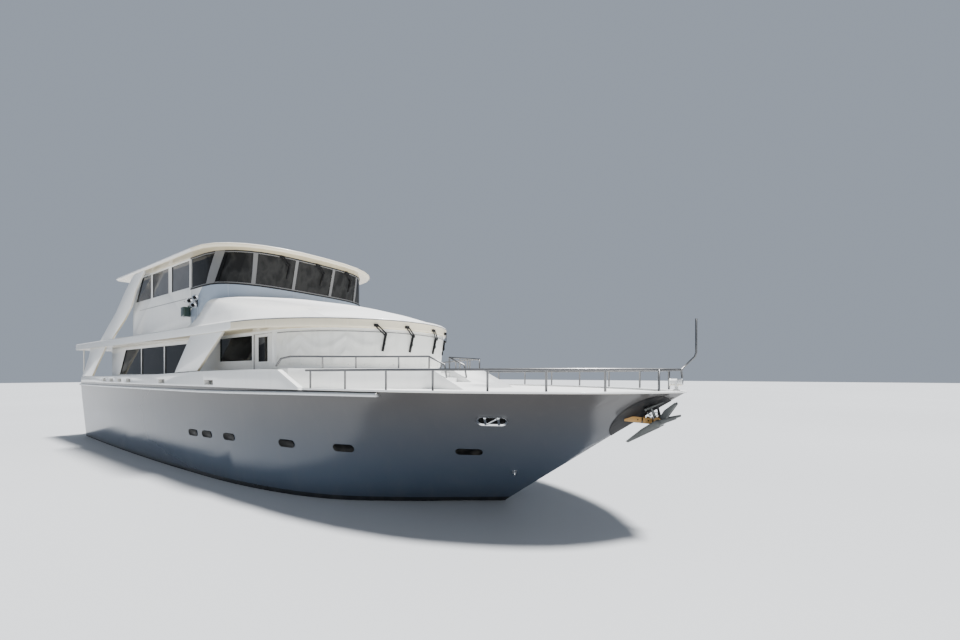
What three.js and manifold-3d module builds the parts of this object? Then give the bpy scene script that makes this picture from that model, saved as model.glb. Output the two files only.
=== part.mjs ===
// Motor yacht of about 27 metres with a raised foredeck, a full deckhouse and an upper pilothouse.
// Units are millimetres. +X is forward, +Y is port, +Z is up. The origin is on the centreline at the
// waterline, amidships. Fore-and-aft places are given as distances aft of the stem head.
import * as THREE from 'three';
import { mergeVertices } from 'three/addons/utils/BufferGeometryUtils.js';
import Module from 'manifold-3d';

const wasm = await Module();
wasm.setup();

// Driving dimensions
const BOW_X = 13650;          // stem head, forward of the origin
const GAP = 0.3;              // between fixed pieces that touch
const CLEAR = 8;              // between moving pieces and their neighbours
const SHEER_Z = 2660;         // top edge of the painted hull
const CAP = { width: 150, proud: 25, height: 40, start: 0.02, end: 0.584 };   // start and end along the sheer
const TRANSOM_AFT = 26000;
const DECK_Z = 2120;          // side decks, cockpit and saloon floor
const PLATFORM_Z = 3150;      // raised foredeck platform
const BOAT_DECK = { under: 4170, top: 4450, half: 3200, tip: 6430, corner: 10400, aft: 25960 };
const HOUSE = { half: 2600, wall: 100, tip: 6560, corner: 9300, aft: 22900, lean: 230, exponent: 2.1 };
const HELM = { half: 2750, wall: 90, tip: 11650, corner: 13300, seam: 14130, aft: 19600, exponent: 3.2 };
const HELM_TOP = { tip: 11350, corner: 14050 };       // the nose under the roof
const HELM_WINDOW = { sill: 5830, head: 6740 };
const ROOF = {
  under: 6800, edge: 6920, crown: 7060, half: 3070, tip: 10860, corner: 13300, aft: 20440, exponent: 2.5,
};
const BULWARK = { front: 7300, full: 8100, thick: 110, proud: 8, aft: 25850 };
const SHAFT = { y: 1150, z: -1380, propeller: 23650 };
const PROPELLER = { radius: 450, hub: 95, hubEnd: 55, blades: 4, hubFront: 140, hubBack: 150 };
const REACH = 400;            // how far a cutter runs past the skin that it opens
const ALL = { half: 4000, low: -3000, high: 9000 };   // a box round the whole yacht
const RUDDER = { aft: 24450, chord: 760, bottom: -1790, top: -830, stock: 40, boss: 90, bossBottom: -800,
  bossTop: -500 };

const PAINT = {
  hull: [0x6e7276, 0.25, 0.1],
  white: [0xf2f2ee, 0.35, 0],
  glass: [0x14171b, 0.08, 0.1],
  steel: [0xc9ccd0, 0.22, 0.95],
  black: [0x1b1c1e, 0.5, 0.1],
  bronze: [0x9a7b45, 0.35, 0.9],
  antifoul: [0x23262b, 0.8, 0],
  fabric: [0xe6e4dd, 0.9, 0],
  teak: [0x9a7048, 0.7, 0],
  green: [0x0f5a3c, 0.4, 0],
  red: [0x7d1518, 0.4, 0],
};

const yacht = new THREE.Group();

function x(aft) {
  return BOW_X - aft;
}

function at(aft, y, z) {
  return new THREE.Vector3(x(aft), y, z);
}

// Solids

function solidOf(geometry) {
  geometry.deleteAttribute('normal');
  geometry.deleteAttribute('uv');
  const merged = mergeVertices(geometry, 0.01);
  const index = merged.index.array;
  const kept = [];
  for (let i = 0; i < index.length; i += 3) {
    const [a, b, c] = index.slice(i, i + 3);
    if (a !== b && b !== c && c !== a) kept.push(a, b, c);
  }
  return new wasm.Manifold(new wasm.Mesh({
    numProp: 3,
    vertProperties: new Float32Array(merged.attributes.position.array),
    triVerts: new Uint32Array(kept),
  }));
}

function add(name, paint, ...solids) {
  const joined = solids.reduce((whole, solid) => whole.add(solid));
  const { vertProperties, triVerts } = joined.getMesh();
  const geometry = new THREE.BufferGeometry();
  geometry.setAttribute('position', new THREE.BufferAttribute(new Float32Array(vertProperties), 3));
  geometry.setIndex(new THREE.BufferAttribute(new Uint32Array(triVerts), 1));
  geometry.computeVertexNormals();
  const [color, roughness, metalness] = PAINT[paint];
  const mesh = new THREE.Mesh(geometry, new THREE.MeshStandardMaterial({ color, roughness, metalness }));
  mesh.name = name;
  yacht.add(mesh);
}

// A closed skin through rings of points, each ring with the same count. The second half of each ring
// is split along the other diagonals, so that a symmetric ring gives a symmetric skin.
function loft(rings, closedStart = true) {
  const faces = [];
  const count = rings[0].length;
  for (let i = 0; i + 1 < rings.length; i += 1) {
    for (let j = 0; j < count; j += 1) {
      const k = (j + 1) % count;
      const [a, b, c, d] = [rings[i][j], rings[i][k], rings[i + 1][k], rings[i + 1][j]];
      const otherWay = j >= (count - 1) / 2 && j < count - 1;
      faces.push(otherWay ? [a, b, d] : [a, b, c], otherWay ? [b, c, d] : [a, c, d]);
    }
  }
  const ends = closedStart ? [[rings[0], true], [rings.at(-1), false]] : [[rings.at(-1), false]];
  for (const [ring, turned] of ends) {
    const centre = ring.reduce((sum, p) => sum.add(p), new THREE.Vector3()).divideScalar(count);
    for (let j = 0; j < count; j += 1) {
      const [here, next] = [ring[j], ring[(j + 1) % count]];
      faces.push(turned ? [centre, next, here] : [centre, here, next]);
    }
  }
  let volume = 0;
  for (const [a, b, c] of faces) volume += a.dot(new THREE.Vector3().crossVectors(b, c));
  const outward = volume > 0 ? faces : faces.map(([a, b, c]) => [a, c, b]);
  const geometry = new THREE.BufferGeometry();
  geometry.setAttribute('position', new THREE.Float32BufferAttribute(
    outward.flat().flatMap((p) => [p.x, p.y, p.z]), 3));
  return solidOf(geometry);
}

function block(aftLow, aftHigh, yLow, yHigh, zLow, zHigh) {
  const box = new THREE.BoxGeometry(aftHigh - aftLow, yHigh - yLow, zHigh - zLow);
  box.translate(x((aftLow + aftHigh) / 2), (yLow + yHigh) / 2, (zLow + zHigh) / 2);
  return solidOf(box);
}

// A plate cut from an outline of [aft, z] points, standing between two widths.
function plate(outline, yLow, yHigh) {
  return loft([yLow, yHigh].map((y) => outline.map(([aft, z]) => at(aft, y, z))));
}

// A slab cut from an outline of [aft, y] points, lying between two heights.
function slab(outline, zLow, zHigh) {
  return loft([zLow, zHigh].map((z) => outline.map(([aft, y]) => at(aft, y, z))));
}

function rod(from, to, radius, sides = 8, endRadius = radius) {
  const axis = new THREE.Vector3().subVectors(to, from);
  const geometry = new THREE.CylinderGeometry(endRadius, radius, axis.length(), sides);
  geometry.applyQuaternion(new THREE.Quaternion().setFromUnitVectors(
    new THREE.Vector3(0, 1, 0), axis.clone().normalize()));
  geometry.translate(...from.clone().add(to).divideScalar(2).toArray());
  return solidOf(geometry);
}

// A bent tube through points, mitred at each bend, its section carried along without twist.
function tube(points, radius, sides = 6) {
  let side = null;
  const rings = points.map((point, i) => {
    const before = points[Math.max(i - 1, 0)];
    const after = points[Math.min(i + 1, points.length - 1)];
    const into = new THREE.Vector3().subVectors(point, before).normalize();
    const out = new THREE.Vector3().subVectors(after, point).normalize();
    const along = into.add(out).normalize();
    if (side === null) {
      const guide = Math.abs(along.z) > 0.9 ? new THREE.Vector3(1, 0, 0) : new THREE.Vector3(0, 0, 1);
      side = new THREE.Vector3().crossVectors(along, guide);
    }
    side = side.clone().addScaledVector(along, -side.dot(along)).normalize();
    const up = new THREE.Vector3().crossVectors(side, along);
    return Array.from({ length: sides }, (_, j) => {
      const angle = (j / sides) * 2 * Math.PI;
      return point.clone().addScaledVector(side, radius * Math.cos(angle))
        .addScaledVector(up, radius * Math.sin(angle));
    });
  });
  return loft(rings);
}

// Three hinge knuckles on an upright axis, each as wide as the door's clearance
function knuckles(aft, y, zLow, zHigh) {
  return [0.1, 0.5, 0.9].map((share) => {
    const z = THREE.MathUtils.lerp(zLow, zHigh, share);
    return rod(at(aft, y, z - 50), at(aft, y, z + 50), CLEAR - GAP, 12);
  }).reduce((whole, knuckle) => whole.add(knuckle));
}

function acrossFrom(point) {
  return new THREE.Vector3(point.x, -point.y, point.z);
}

function mirrored(solid) {
  return solid.mirror([0, 1, 0]);
}

function pair(solid) {
  return [solid, mirrored(solid)];
}

function addPair(name, paint, port) {
  add(`${name}_port`, paint, port);
  add(`${name}_starboard`, paint, mirrored(port));
}

// Hull form: each fore-and-aft line runs through [aft, half breadth, height] points.

const LINES = {
  sheer: [[0, 0, SHEER_Z], [350, 560, SHEER_Z], [1080, 1320, SHEER_Z], [2400, 2120, SHEER_Z],
    [4000, 2730, SHEER_Z], [6400, 3120, SHEER_Z], [9500, 3260, SHEER_Z], [14000, 3300, SHEER_Z],
    [20000, 3240, SHEER_Z], [TRANSOM_AFT, 3020, SHEER_Z]],
  upper: [[1075, 0, 1950], [1380, 330, 1950], [2000, 830, 1950], [3100, 1550, 1950], [4500, 2150, 1950],
    [6700, 2800, 1950], [9700, 3140, 1950], [14000, 3260, 1950], [20000, 3210, 1950],
    [TRANSOM_AFT, 2980, 1950]],
  middle: [[2150, 0, 1200], [2420, 250, 1200], [2950, 620, 1200], [3900, 1150, 1200], [5100, 1780, 1200],
    [7000, 2580, 1200], [9900, 3040, 1200], [14000, 3220, 1200], [20000, 3170, 1200],
    [TRANSOM_AFT, 2920, 1200]],
  chine: [[3360, 0, 360], [3620, 130, 300], [4050, 360, 200], [4800, 740, 50], [5900, 1420, -70],
    [7600, 2300, -200], [10200, 2840, -310], [14200, 3000, -380], [20000, 2970, -360],
    [TRANSOM_AFT, 2800, -280]],
  bottom: [[3920, 0, -40], [4150, 80, -150], [4600, 220, -300], [5400, 450, -450], [6400, 800, -600],
    [8000, 1250, -750], [10500, 1500, -850], [14400, 1600, -900], [20000, 1600, -850],
    [TRANSOM_AFT, 1500, -620]],
  keel: [[4500, 0, -500], [4800, 0, -650], [5300, 0, -850], [6100, 0, -1020], [7200, 0, -1150],
    [8800, 0, -1250], [11000, 0, -1320], [14800, 0, -1350], [20000, 0, -1200],
    [TRANSOM_AFT, 0, -750]],
};
const HULL_STATIONS = 38;
const TOPSIDE_STEPS = 8;
const BOTTOM_STEPS = 3;

function curveOf(points) {
  return new THREE.CatmullRomCurve3(points.map(([aft, half, z]) => at(aft, half, z)), false, 'centripetal');
}

const CURVES = Object.fromEntries(Object.entries(LINES).map(([name, points]) => [name, curveOf(points)]));

function linePoint(name, u) {
  return CURVES[name].getPoint(u);
}

// Half a hull section, from the sheer down to the keel, grown outward all round.
function halfSection(u, grow) {
  const through = (...names) => new THREE.CatmullRomCurve3(names.map((name) => linePoint(name, u)));
  const topside = through('sheer', 'upper', 'middle', 'chine');
  const bottom = through('chine', 'bottom', 'keel');
  const points = [...topside.getPoints(TOPSIDE_STEPS), ...bottom.getPoints(BOTTOM_STEPS).slice(1)];
  return points.map((p) => new THREE.Vector3(p.x + grow * (1 - u), Math.max(p.y, 0) + (u > 0 ? grow : 0),
    p.z));
}

function hullForm(grow = 0) {
  const rings = [];
  for (let i = 0; i <= HULL_STATIONS; i += 1) {
    const half = halfSection(i / HULL_STATIONS, grow);
    half.at(-1).y = 0;
    rings.push([...half, ...half.slice(0, -1).reverse().map(acrossFrom)]);
  }
  return loft(rings, false);
}

// The sheer line between two places, moved inboard, as [aft, half breadth] points.
function sheerLine(aftFrom, aftTo, inboard, step = 900) {
  const fine = Array.from({ length: 400 }, (_, i) => linePoint('sheer', i / 399));
  const count = Math.max(2, Math.ceil((aftTo - aftFrom) / step) + 1);
  return Array.from({ length: count }, (_, i) => {
    const aft = aftFrom + ((aftTo - aftFrom) * i) / (count - 1);
    const j = Math.max(1, fine.findIndex((p) => BOW_X - p.x >= aft));
    const [a, b] = j > 0 ? [fine[j - 1], fine[j]] : [fine[398], fine[399]];
    const share = THREE.MathUtils.clamp((aft - (BOW_X - a.x)) / Math.max(a.x - b.x, 1e-6), 0, 1);
    return [aft, Math.max(THREE.MathUtils.lerp(a.y, b.y, share) - inboard, 0)];
  });
}

const WELL = { front: 8500, inboard: 160, aft: 25800 };
const GATE = { y: 2130, half: 300, foot: DECK_Z + 30, top: 2880, thick: 60, front: 25880 };
const wellSide = sheerLine(WELL.front, WELL.aft, WELL.inboard, 1500);
const wellOutline = [...wellSide, ...wellSide.slice().reverse().map(([aft, y]) => [aft, -y])];
const well = slab(wellOutline, DECK_Z, SHEER_Z + REACH);
const gateways = pair(block(WELL.aft - GAP, TRANSOM_AFT + REACH, GATE.y - GATE.half, GATE.y + GATE.half,
  DECK_Z, SHEER_Z + REACH));
const openHull = [well, ...gateways].reduce((rest, cut) => rest.subtract(cut), hullForm());

// Keel: a deep fin under the middle of the hull
const KEEL = { half: 140, outline: [[8200, -1050], [9600, -1800], [20600, -1800], [21400, -1000]] };
const rudderBoss = rod(at(RUDDER.aft, SHAFT.y, RUDDER.bossBottom), at(RUDDER.aft, SHAFT.y, RUDDER.bossTop),
  RUDDER.boss, 16);
add('hull', 'hull', openHull, plate(KEEL.outline, -KEEL.half, KEEL.half), ...pair(rudderBoss));

// Deck edge: cap rail round the bow, rub rails down the sides, raised bulwarks aft of the platform's front

// A strip along the sheer line between two heights, which may vary along the hull
function edgeStrip(aftFrom, aftTo, outboard, inboard, lowAt, highAt, step) {
  const outer = sheerLine(aftFrom, aftTo, -outboard, step);
  const inner = sheerLine(aftFrom, aftTo, inboard, step);
  return loft(outer.map(([aft, y], i) => [
    at(aft, y, lowAt(aft)), at(aft, inner[i][1], lowAt(aft)), at(aft, inner[i][1], highAt(aft)),
    at(aft, y, highAt(aft))]));
}

const capLow = SHEER_Z + GAP;
const capTop = SHEER_Z + CAP.height;

// One cross-section of the cap rail, square to the sheer line at u
function capRing(u) {
  const edge = linePoint('sheer', u);
  const along = CURVES.sheer.getTangent(u);
  const inward = new THREE.Vector3(along.y, -along.x, 0).multiplyScalar(along.x < 0 ? -1 : 1);
  const outer = edge.clone().addScaledVector(inward, -CAP.proud);
  const inner = edge.clone().addScaledVector(inward, CAP.width);
  return [[outer, capLow], [inner, capLow], [inner, capTop], [outer, capTop]].map(([p, z]) =>
    new THREE.Vector3(p.x, p.y, z));
}
const CAP_NOSE = [[-40, capLow], [290, capLow], [290, capTop], [-40, capTop]];
const CAP_STEPS = 16;
const capPort = Array.from({ length: CAP_STEPS }, (_, i) =>
  capRing(THREE.MathUtils.lerp(CAP.end, CAP.start, i / CAP_STEPS)));
const capNose = CAP_NOSE.map(([aft, z]) => at(aft, 0, z));
const capStarboard = capPort.map((ring) => ring.map(acrossFrom)).reverse();
add('cap_rail', 'white', loft([...capPort, capNose, ...capStarboard]));

// Bulwark top heights by distance aft
const BULWARK_TOPS = [[BULWARK.front, SHEER_Z + 60], [BULWARK.full, 3130], [11500, 3100], [16000, 2990],
  [22500, 2920], [26000, 2900]];

function bulwarkTop(aft) {
  const i = Math.max(1, BULWARK_TOPS.findIndex(([place]) => place >= aft));
  const [a, b] = [BULWARK_TOPS[i - 1], BULWARK_TOPS[i]];
  return THREE.MathUtils.mapLinear(aft, a[0], b[0], a[1], b[1]);
}

// Freeing slots through the foot of the bulwark
const SLOTS = { places: [11200, 14600, 17900, 19000, 20100, 21200], length: 520, low: 60, high: 190 };
const bulwark = SLOTS.places.reduce(
  (rest, aft) => rest.subtract(block(aft, aft + SLOTS.length, HOUSE.half + REACH, ALL.half,
    SHEER_Z + SLOTS.low, SHEER_Z + SLOTS.high)),
  edgeStrip(BULWARK.front, BULWARK.aft, BULWARK.proud, BULWARK.thick, () => capLow, bulwarkTop, 800));
const STERN_POST = { aft: 25750, y: 2960, foot: 2850, radius: 22 };
const sternPost = rod(at(STERN_POST.aft, STERN_POST.y, STERN_POST.foot),
  at(STERN_POST.aft, STERN_POST.y, BOAT_DECK.under - GAP), STERN_POST.radius);
const STERN_WALL = { front: 25830, aft: 25980, quarter: 25780, half: 2940 };
const quarter = block(STERN_WALL.quarter, STERN_WALL.aft, GATE.y + GATE.half, STERN_WALL.half, capLow,
  GATE.top);
addPair('bulwark', 'white', bulwark.add(quarter).add(sternPost));

// The rub rail rises to the cap rail at its fore end
const RUB = { front: 5000, low: 2490, height: 75, proud: 50, inboard: 240, rise: 70, level: 12500 };

function rubLow(aft) {
  return RUB.low + RUB.rise * (1 - THREE.MathUtils.smoothstep(aft, RUB.front, RUB.level));
}
const rubBlank = edgeStrip(RUB.front, TRANSOM_AFT - 20, RUB.proud, RUB.inboard, rubLow,
  (aft) => rubLow(aft) + RUB.height, 900);
addPair('rub_rail', 'steel', rubBlank.subtract(hullForm(GAP)));

// Transom bulwark with a gate on each side, steps down to the swim platform
add('transom_bulwark', 'white', block(STERN_WALL.front, STERN_WALL.aft, GATE.half - GATE.y,
  GATE.y - GATE.half, capLow, GATE.top));
const gateHinge = GATE.y + GATE.half - CLEAR;
const gateLeaf = block(GATE.front, GATE.front + GATE.thick, GATE.y - GATE.half + CLEAR, gateHinge, GATE.foot,
  GATE.top);
addPair('transom_gate', 'white', knuckles(GATE.front, gateHinge, GATE.foot, GATE.top).add(gateLeaf));

const SWIM = { top: 380, thick: 90, half: 2650, square: 26900, aft: 27250, cut: 450 };
const swimFront = TRANSOM_AFT + GAP;
const swimOutline = [[swimFront, -SWIM.half], [swimFront, SWIM.half], [SWIM.square, SWIM.half],
  [SWIM.aft, SWIM.half - SWIM.cut], [SWIM.aft, SWIM.cut - SWIM.half], [SWIM.square, -SWIM.half]];
const BRACKET = { places: [-1900, 0, 1900], half: 40, foot: -120, top: 330 };
const swimBrackets = BRACKET.places.map((y) => plate(
  [[swimFront, BRACKET.foot], [swimFront, BRACKET.top], [SWIM.square, BRACKET.top]], y - BRACKET.half,
    y + BRACKET.half));

const STEPS = { count: 7, run: 130 };
const stepRise = (DECK_Z - SWIM.top) / STEPS.count;
function steps(low, high) {
  const parts = [];
  for (let i = 0; i < STEPS.count; i += 1) {
    parts.push(block(swimFront, swimFront + (i + 1) * STEPS.run, low, high, SWIM.top - SWIM.thick / 2,
      DECK_Z - GAP - i * stepRise));
  }
  return parts.reduce((whole, part) => whole.add(part));
}
add('swim_platform', 'teak', slab(swimOutline, SWIM.top - SWIM.thick, SWIM.top), ...swimBrackets,
  ...pair(steps(GATE.y - GATE.half, GATE.y + GATE.half)));

// Raised foredeck platform: full beam at the deckhouse, narrowing forward, with a sloped front,
// a stair down to the foredeck on the starboard side and steps up from each side deck.
const PLATFORM = { toe: 4270, brow: 5300, browHalf: 1100, side: 2900, aft: 9280 };
// Half breadths of its top: [aft, half breadth]
const PLATFORM_HALF = [[PLATFORM.brow, PLATFORM.browHalf], [6000, 1480], [6870, 2030], [7700, 2520],
  [BULWARK.full + 100, PLATFORM.side], [WELL.front + 100, PLATFORM.side]];
const platformTop = slab([...PLATFORM_HALF.slice().reverse(), ...PLATFORM_HALF.map(([aft, y]) => [aft, -y])],
  capLow, PLATFORM_Z);
const platformFront = plate(
  [[PLATFORM.toe, capLow], [PLATFORM.brow + 1, PLATFORM_Z], [PLATFORM.brow + 1, capLow]],
  -PLATFORM.browHalf, PLATFORM.browHalf);
const platformAft = block(WELL.front + GAP, PLATFORM.aft, HOUSE.wall - HOUSE.half, HOUSE.half - HOUSE.wall,
  DECK_Z + GAP, PLATFORM_Z);

// Steps up from the side decks
const SIDE_STEPS = { count: 4, run: 190, inner: 2490, outer: 3060 };
const sideRise = (PLATFORM_Z - DECK_Z) / (SIDE_STEPS.count + 1);
const sideSteps = Array.from({ length: SIDE_STEPS.count }, (_, i) => pair(block(WELL.front + GAP,
  WELL.front + (i + 1) * SIDE_STEPS.run, SIDE_STEPS.inner, SIDE_STEPS.outer, DECK_Z + GAP,
  PLATFORM_Z - sideRise * (i + 1)))).flat();

// Treads cut into the sloped front, between two places to starboard
const STAIR = { count: 3, run: 260, top: 5560, near: 1060, far: 330 };
const stairRise = (PLATFORM_Z - capTop) / (STAIR.count + 1);
const stairCuts = Array.from({ length: STAIR.count }, (_, i) => block(PLATFORM.toe - REACH,
  STAIR.top - i * STAIR.run, -STAIR.near, -STAIR.far, PLATFORM_Z - stairRise * (i + 1), PLATFORM_Z + REACH));

// A slot on each side for the foot of the deckhouse's side wall
const wallSlots = pair(block(HOUSE.corner - 600, PLATFORM.aft, HOUSE.half - HOUSE.wall - 10, HOUSE.half + 10,
  DECK_Z - REACH, PLATFORM_Z + REACH));
const platformWhole = [platformTop, platformFront, ...sideSteps].reduce((whole, part) => whole.add(part),
  platformAft);
add('foredeck_platform', 'white', [...stairCuts, ...wallSlots].reduce((rest, cut) => rest.subtract(cut),
  platformWhole));

// Walls with a rounded nose

// A ring in plan: straight sides, a nose that follows a superellipse.
function noseRing({ tip, corner, half, aft, exponent = 2 }, z, sides = 9) {
  const nose = [];
  for (let i = -sides; i <= sides; i += 1) {
    const angle = (i / sides) * (Math.PI / 2);
    const across = Math.sign(angle) * Math.abs(Math.sin(angle)) ** (2 / exponent);
    const ahead = Math.abs(Math.cos(angle)) ** (2 / exponent);
    nose.push(at(corner - (corner - tip) * ahead, half * across, z));
  }
  return [at(aft, -half, z), ...nose, at(aft, half, z)];
}

function moved(form, inward) {
  return { ...form, tip: form.tip + inward, half: form.half - inward, aft: form.aft - inward };
}

function noseLoft(levels, inward = 0, sides = 9) {
  return loft(levels.map(([form, z]) => noseRing(moved(form, inward), z, sides)));
}

function between(solid, aftLow, aftHigh, zLow = ALL.low, zHigh = ALL.high) {
  return solid.intersect(block(aftLow, aftHigh, -ALL.half, ALL.half, zLow, zHigh));
}

// Main deckhouse
const houseTop = { tip: HOUSE.tip, corner: HOUSE.corner, half: HOUSE.half, aft: HOUSE.aft,
  exponent: HOUSE.exponent };
const houseForm = { ...houseTop, tip: HOUSE.tip + HOUSE.lean };
const houseShell = noseLoft([[houseForm, PLATFORM_Z + GAP], [houseTop, BOAT_DECK.under - GAP]]);
// The same nose, carried on past its foot and head at the same lean
const houseTall = [[{ ...houseForm, tip: houseForm.tip + 9 }, PLATFORM_Z - 40],
  [{ ...houseTop, tip: HOUSE.tip - 9 }, BOAT_DECK.under + 40]];
const frontShell = between(houseShell.subtract(noseLoft(houseTall, HOUSE.wall)), 0, HOUSE.corner - GAP);

// Front windows of the deckhouse: [edge nearer the centreline, outer edge], mirrored to both sides
const FRONT_PANES = [[-620, 620], [720, 1500], [1590, 2180]];
const FRONT_WINDOW = { sill: 3380, head: 4020, aft: 8600 };
const frontCuts = FRONT_PANES.flatMap(([inner, outer]) => {
  const cut = block(0, FRONT_WINDOW.aft, inner, outer, FRONT_WINDOW.sill, FRONT_WINDOW.head);
  return inner < 0 ? [cut] : pair(cut);
});
add('house_front', 'white', frontCuts.reduce((rest, cut) => rest.subtract(cut), frontShell));

// Side windows of the deckhouse: outlines of [aft, z] points
const SIDE_WINDOWS = [
  [[10500, 3390], [12400, 3390], [12400, 4080], [10500, 4080]],
  [[14700, 3010], [16750, 3010], [16750, 4040], [14700, 4040]],
  [[16870, 3010], [19120, 3010], [19120, 4040], [16870, 4040]],
  [[19240, 3010], [21830, 3010], [21040, 4040], [19240, 4040]],
];
const SIDE_DOOR = { front: 9470, aft: 10400, bottom: 2150, top: 4110, set: 12, thick: 48 };
const houseInside = HOUSE.half - HOUSE.wall;
const sideWall = block(HOUSE.corner, HOUSE.aft, houseInside, HOUSE.half, DECK_Z + GAP, BOAT_DECK.under - GAP);
const sideCuts = SIDE_WINDOWS.map((outline) => plate(outline, HOUSE.half - REACH, HOUSE.half + REACH));
const doorway = block(SIDE_DOOR.front, SIDE_DOOR.aft, HOUSE.half - REACH, HOUSE.half + REACH,
  SIDE_DOOR.bottom, SIDE_DOOR.top);
addPair('house_side', 'white', [doorway, ...sideCuts].reduce((rest, cut) => rest.subtract(cut), sideWall));

// After bulkhead: a sliding door on a track between two windows
const SALOON_DOOR = { half: 480, bottom: 2150, top: 4050, thick: 45, travel: 880, lap: 30, track: 50 };
const AFT_PANES = { inner: 1050, outer: 2200, sill: 3000, head: 3950 };
const bulkheadBlank = block(HOUSE.aft - HOUSE.wall, HOUSE.aft, GAP - houseInside, houseInside - GAP,
  DECK_Z + GAP, BOAT_DECK.under - GAP);
const aftCuts = pair(block(HOUSE.aft - REACH, HOUSE.aft + REACH, AFT_PANES.inner, AFT_PANES.outer,
  AFT_PANES.sill, AFT_PANES.head));
const saloonHole = block(HOUSE.aft - REACH, HOUSE.aft + REACH, SALOON_DOOR.lap - SALOON_DOOR.half,
  SALOON_DOOR.half - SALOON_DOOR.lap, SALOON_DOOR.bottom, SALOON_DOOR.top - SALOON_DOOR.lap);
const doorTrack = block(HOUSE.aft - 1, HOUSE.aft + CLEAR + SALOON_DOOR.thick, -SALOON_DOOR.half,
  SALOON_DOOR.half + SALOON_DOOR.travel, SALOON_DOOR.top + GAP, SALOON_DOOR.top + SALOON_DOOR.track);
add('house_bulkhead', 'white', doorTrack,
  [...aftCuts, saloonHole].reduce((rest, cut) => rest.subtract(cut), bulkheadBlank));

// Glass: one sheet bonded inside each wall, behind all of that wall's windows
const GLASS = 12;
const SIDE_GLASS = { front: 10450, aft: 21900, low: 2960, high: 4100 };
const AFT_GLASS = { half: 2250, low: 2950, high: 4100 };
const FRONT_GLASS = { aft: 8900, low: 3320, high: 4090 };
addPair('house_glass', 'glass', block(SIDE_GLASS.front, SIDE_GLASS.aft, houseInside - GAP - GLASS,
  houseInside - GAP, SIDE_GLASS.low, SIDE_GLASS.high));
add('house_glass_aft', 'glass', block(HOUSE.aft - HOUSE.wall - GAP - GLASS, HOUSE.aft - HOUSE.wall - GAP,
  -AFT_GLASS.half, AFT_GLASS.half, AFT_GLASS.low, AFT_GLASS.high).subtract(saloonHole));

// A skin of some thickness, so far inside a nose
function noseSkin(levels, inside, thick) {
  return noseLoft(levels, inside).subtract(noseLoft(levels, inside + thick));
}
add('house_glass_front', 'glass', between(noseSkin(houseTall, HOUSE.wall + GAP, GLASS), 0, FRONT_GLASS.aft,
  FRONT_GLASS.low, FRONT_GLASS.high));

const DOOR_LIGHT = { front: 9700, aft: 10210, low: 3350, high: 4020, back: 15, lap: 1 };
const doorFace = HOUSE.half - SIDE_DOOR.set;
const doorBack = doorFace - SIDE_DOOR.thick;
const doorSlab = block(SIDE_DOOR.front + CLEAR, SIDE_DOOR.aft - CLEAR, doorBack, doorFace,
  SIDE_DOOR.bottom + CLEAR, SIDE_DOOR.top - CLEAR);
const lightHole = block(DOOR_LIGHT.front, DOOR_LIGHT.aft, doorBack - CLEAR, HOUSE.half, DOOR_LIGHT.low,
  DOOR_LIGHT.high);
const lightPane = block(DOOR_LIGHT.front - DOOR_LIGHT.lap, DOOR_LIGHT.aft + DOOR_LIGHT.lap,
  doorBack + DOOR_LIGHT.back,
  doorBack + DOOR_LIGHT.back + GLASS, DOOR_LIGHT.low - DOOR_LIGHT.lap, DOOR_LIGHT.high + DOOR_LIGHT.lap);
addPair('side_door', 'white', doorSlab
  .add(knuckles(SIDE_DOOR.front + CLEAR, doorBack, SIDE_DOOR.bottom, SIDE_DOOR.top))
  .subtract(lightHole).add(lightPane));
add('saloon_door', 'white', block(HOUSE.aft + CLEAR, HOUSE.aft + CLEAR + SALOON_DOOR.thick, -SALOON_DOOR.half,
  SALOON_DOOR.half, SALOON_DOOR.bottom + CLEAR, SALOON_DOOR.top));

// Fabric cover over the front windows
const COVER = { thick: 7, low: 3230, high: 4120, aft: 9200 };
add('window_cover', 'fabric', between(noseSkin(houseTall, -GAP - COVER.thick, COVER.thick), 0, COVER.aft,
  COVER.low, COVER.high));

// Boat deck with a domed brow that rises from its edge to the foot of the pilothouse windows
const deckForm = { tip: BOAT_DECK.tip, corner: BOAT_DECK.corner, half: BOAT_DECK.half, aft: BOAT_DECK.aft };
const DECK_LIP = 40;
const deckSlab = noseLoft([[deckForm, BOAT_DECK.under], [deckForm, BOAT_DECK.top - DECK_LIP],
  [moved(deckForm, DECK_LIP), BOAT_DECK.top]], 0, 10);
const DOME = {
  front: 11560, half: 2790, corner: 12450, back: 13480, bow: 5490, side: 5300, bulge: 150, exponent: 2.6,
  inboard: 60, sunk: 20, arc: 10, straight: 5,
};

// Each row of the dome runs round the nose, then straight aft on both sides, where its crest falls away.
function domeRing(share) {
  const row = [];
  const last = DOME.arc + DOME.straight;
  for (let i = -last; i <= last; i += 1) {
    const turn = Math.min(Math.abs(i) / DOME.arc, 1) * (Math.PI / 2);
    const run = Math.max(Math.abs(i) - DOME.arc, 0) / DOME.straight;
    const [across, ahead] = [Math.sin(turn), Math.cos(turn)];
    const low = new THREE.Vector2(
      BOAT_DECK.corner + DOME.inboard - (BOAT_DECK.corner - BOAT_DECK.tip) * ahead,
      (BOAT_DECK.half - DOME.inboard) * across);
    const high = new THREE.Vector2(DOME.corner - (DOME.corner - DOME.front) * ahead ** (2 / DOME.exponent),
      DOME.half * across ** (2 / DOME.exponent));
    low.x = THREE.MathUtils.lerp(low.x, DOME.back, run);
    high.x = THREE.MathUtils.lerp(high.x, DOME.back, run);
    const plan = low.lerp(high, share);
    const top = THREE.MathUtils.lerp(DOME.bow, DOME.side, across ** 2);
    const crest = (top - BOAT_DECK.top) * Math.sqrt(1 - run ** 2);
    const bulge = Math.sin(share * Math.PI) * DOME.bulge * (crest / (DOME.bow - BOAT_DECK.top));
    row.push(at(plan.x, plan.y * Math.sign(i), BOAT_DECK.top - DOME.sunk + share * crest + bulge));
  }
  return row;
}
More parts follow.
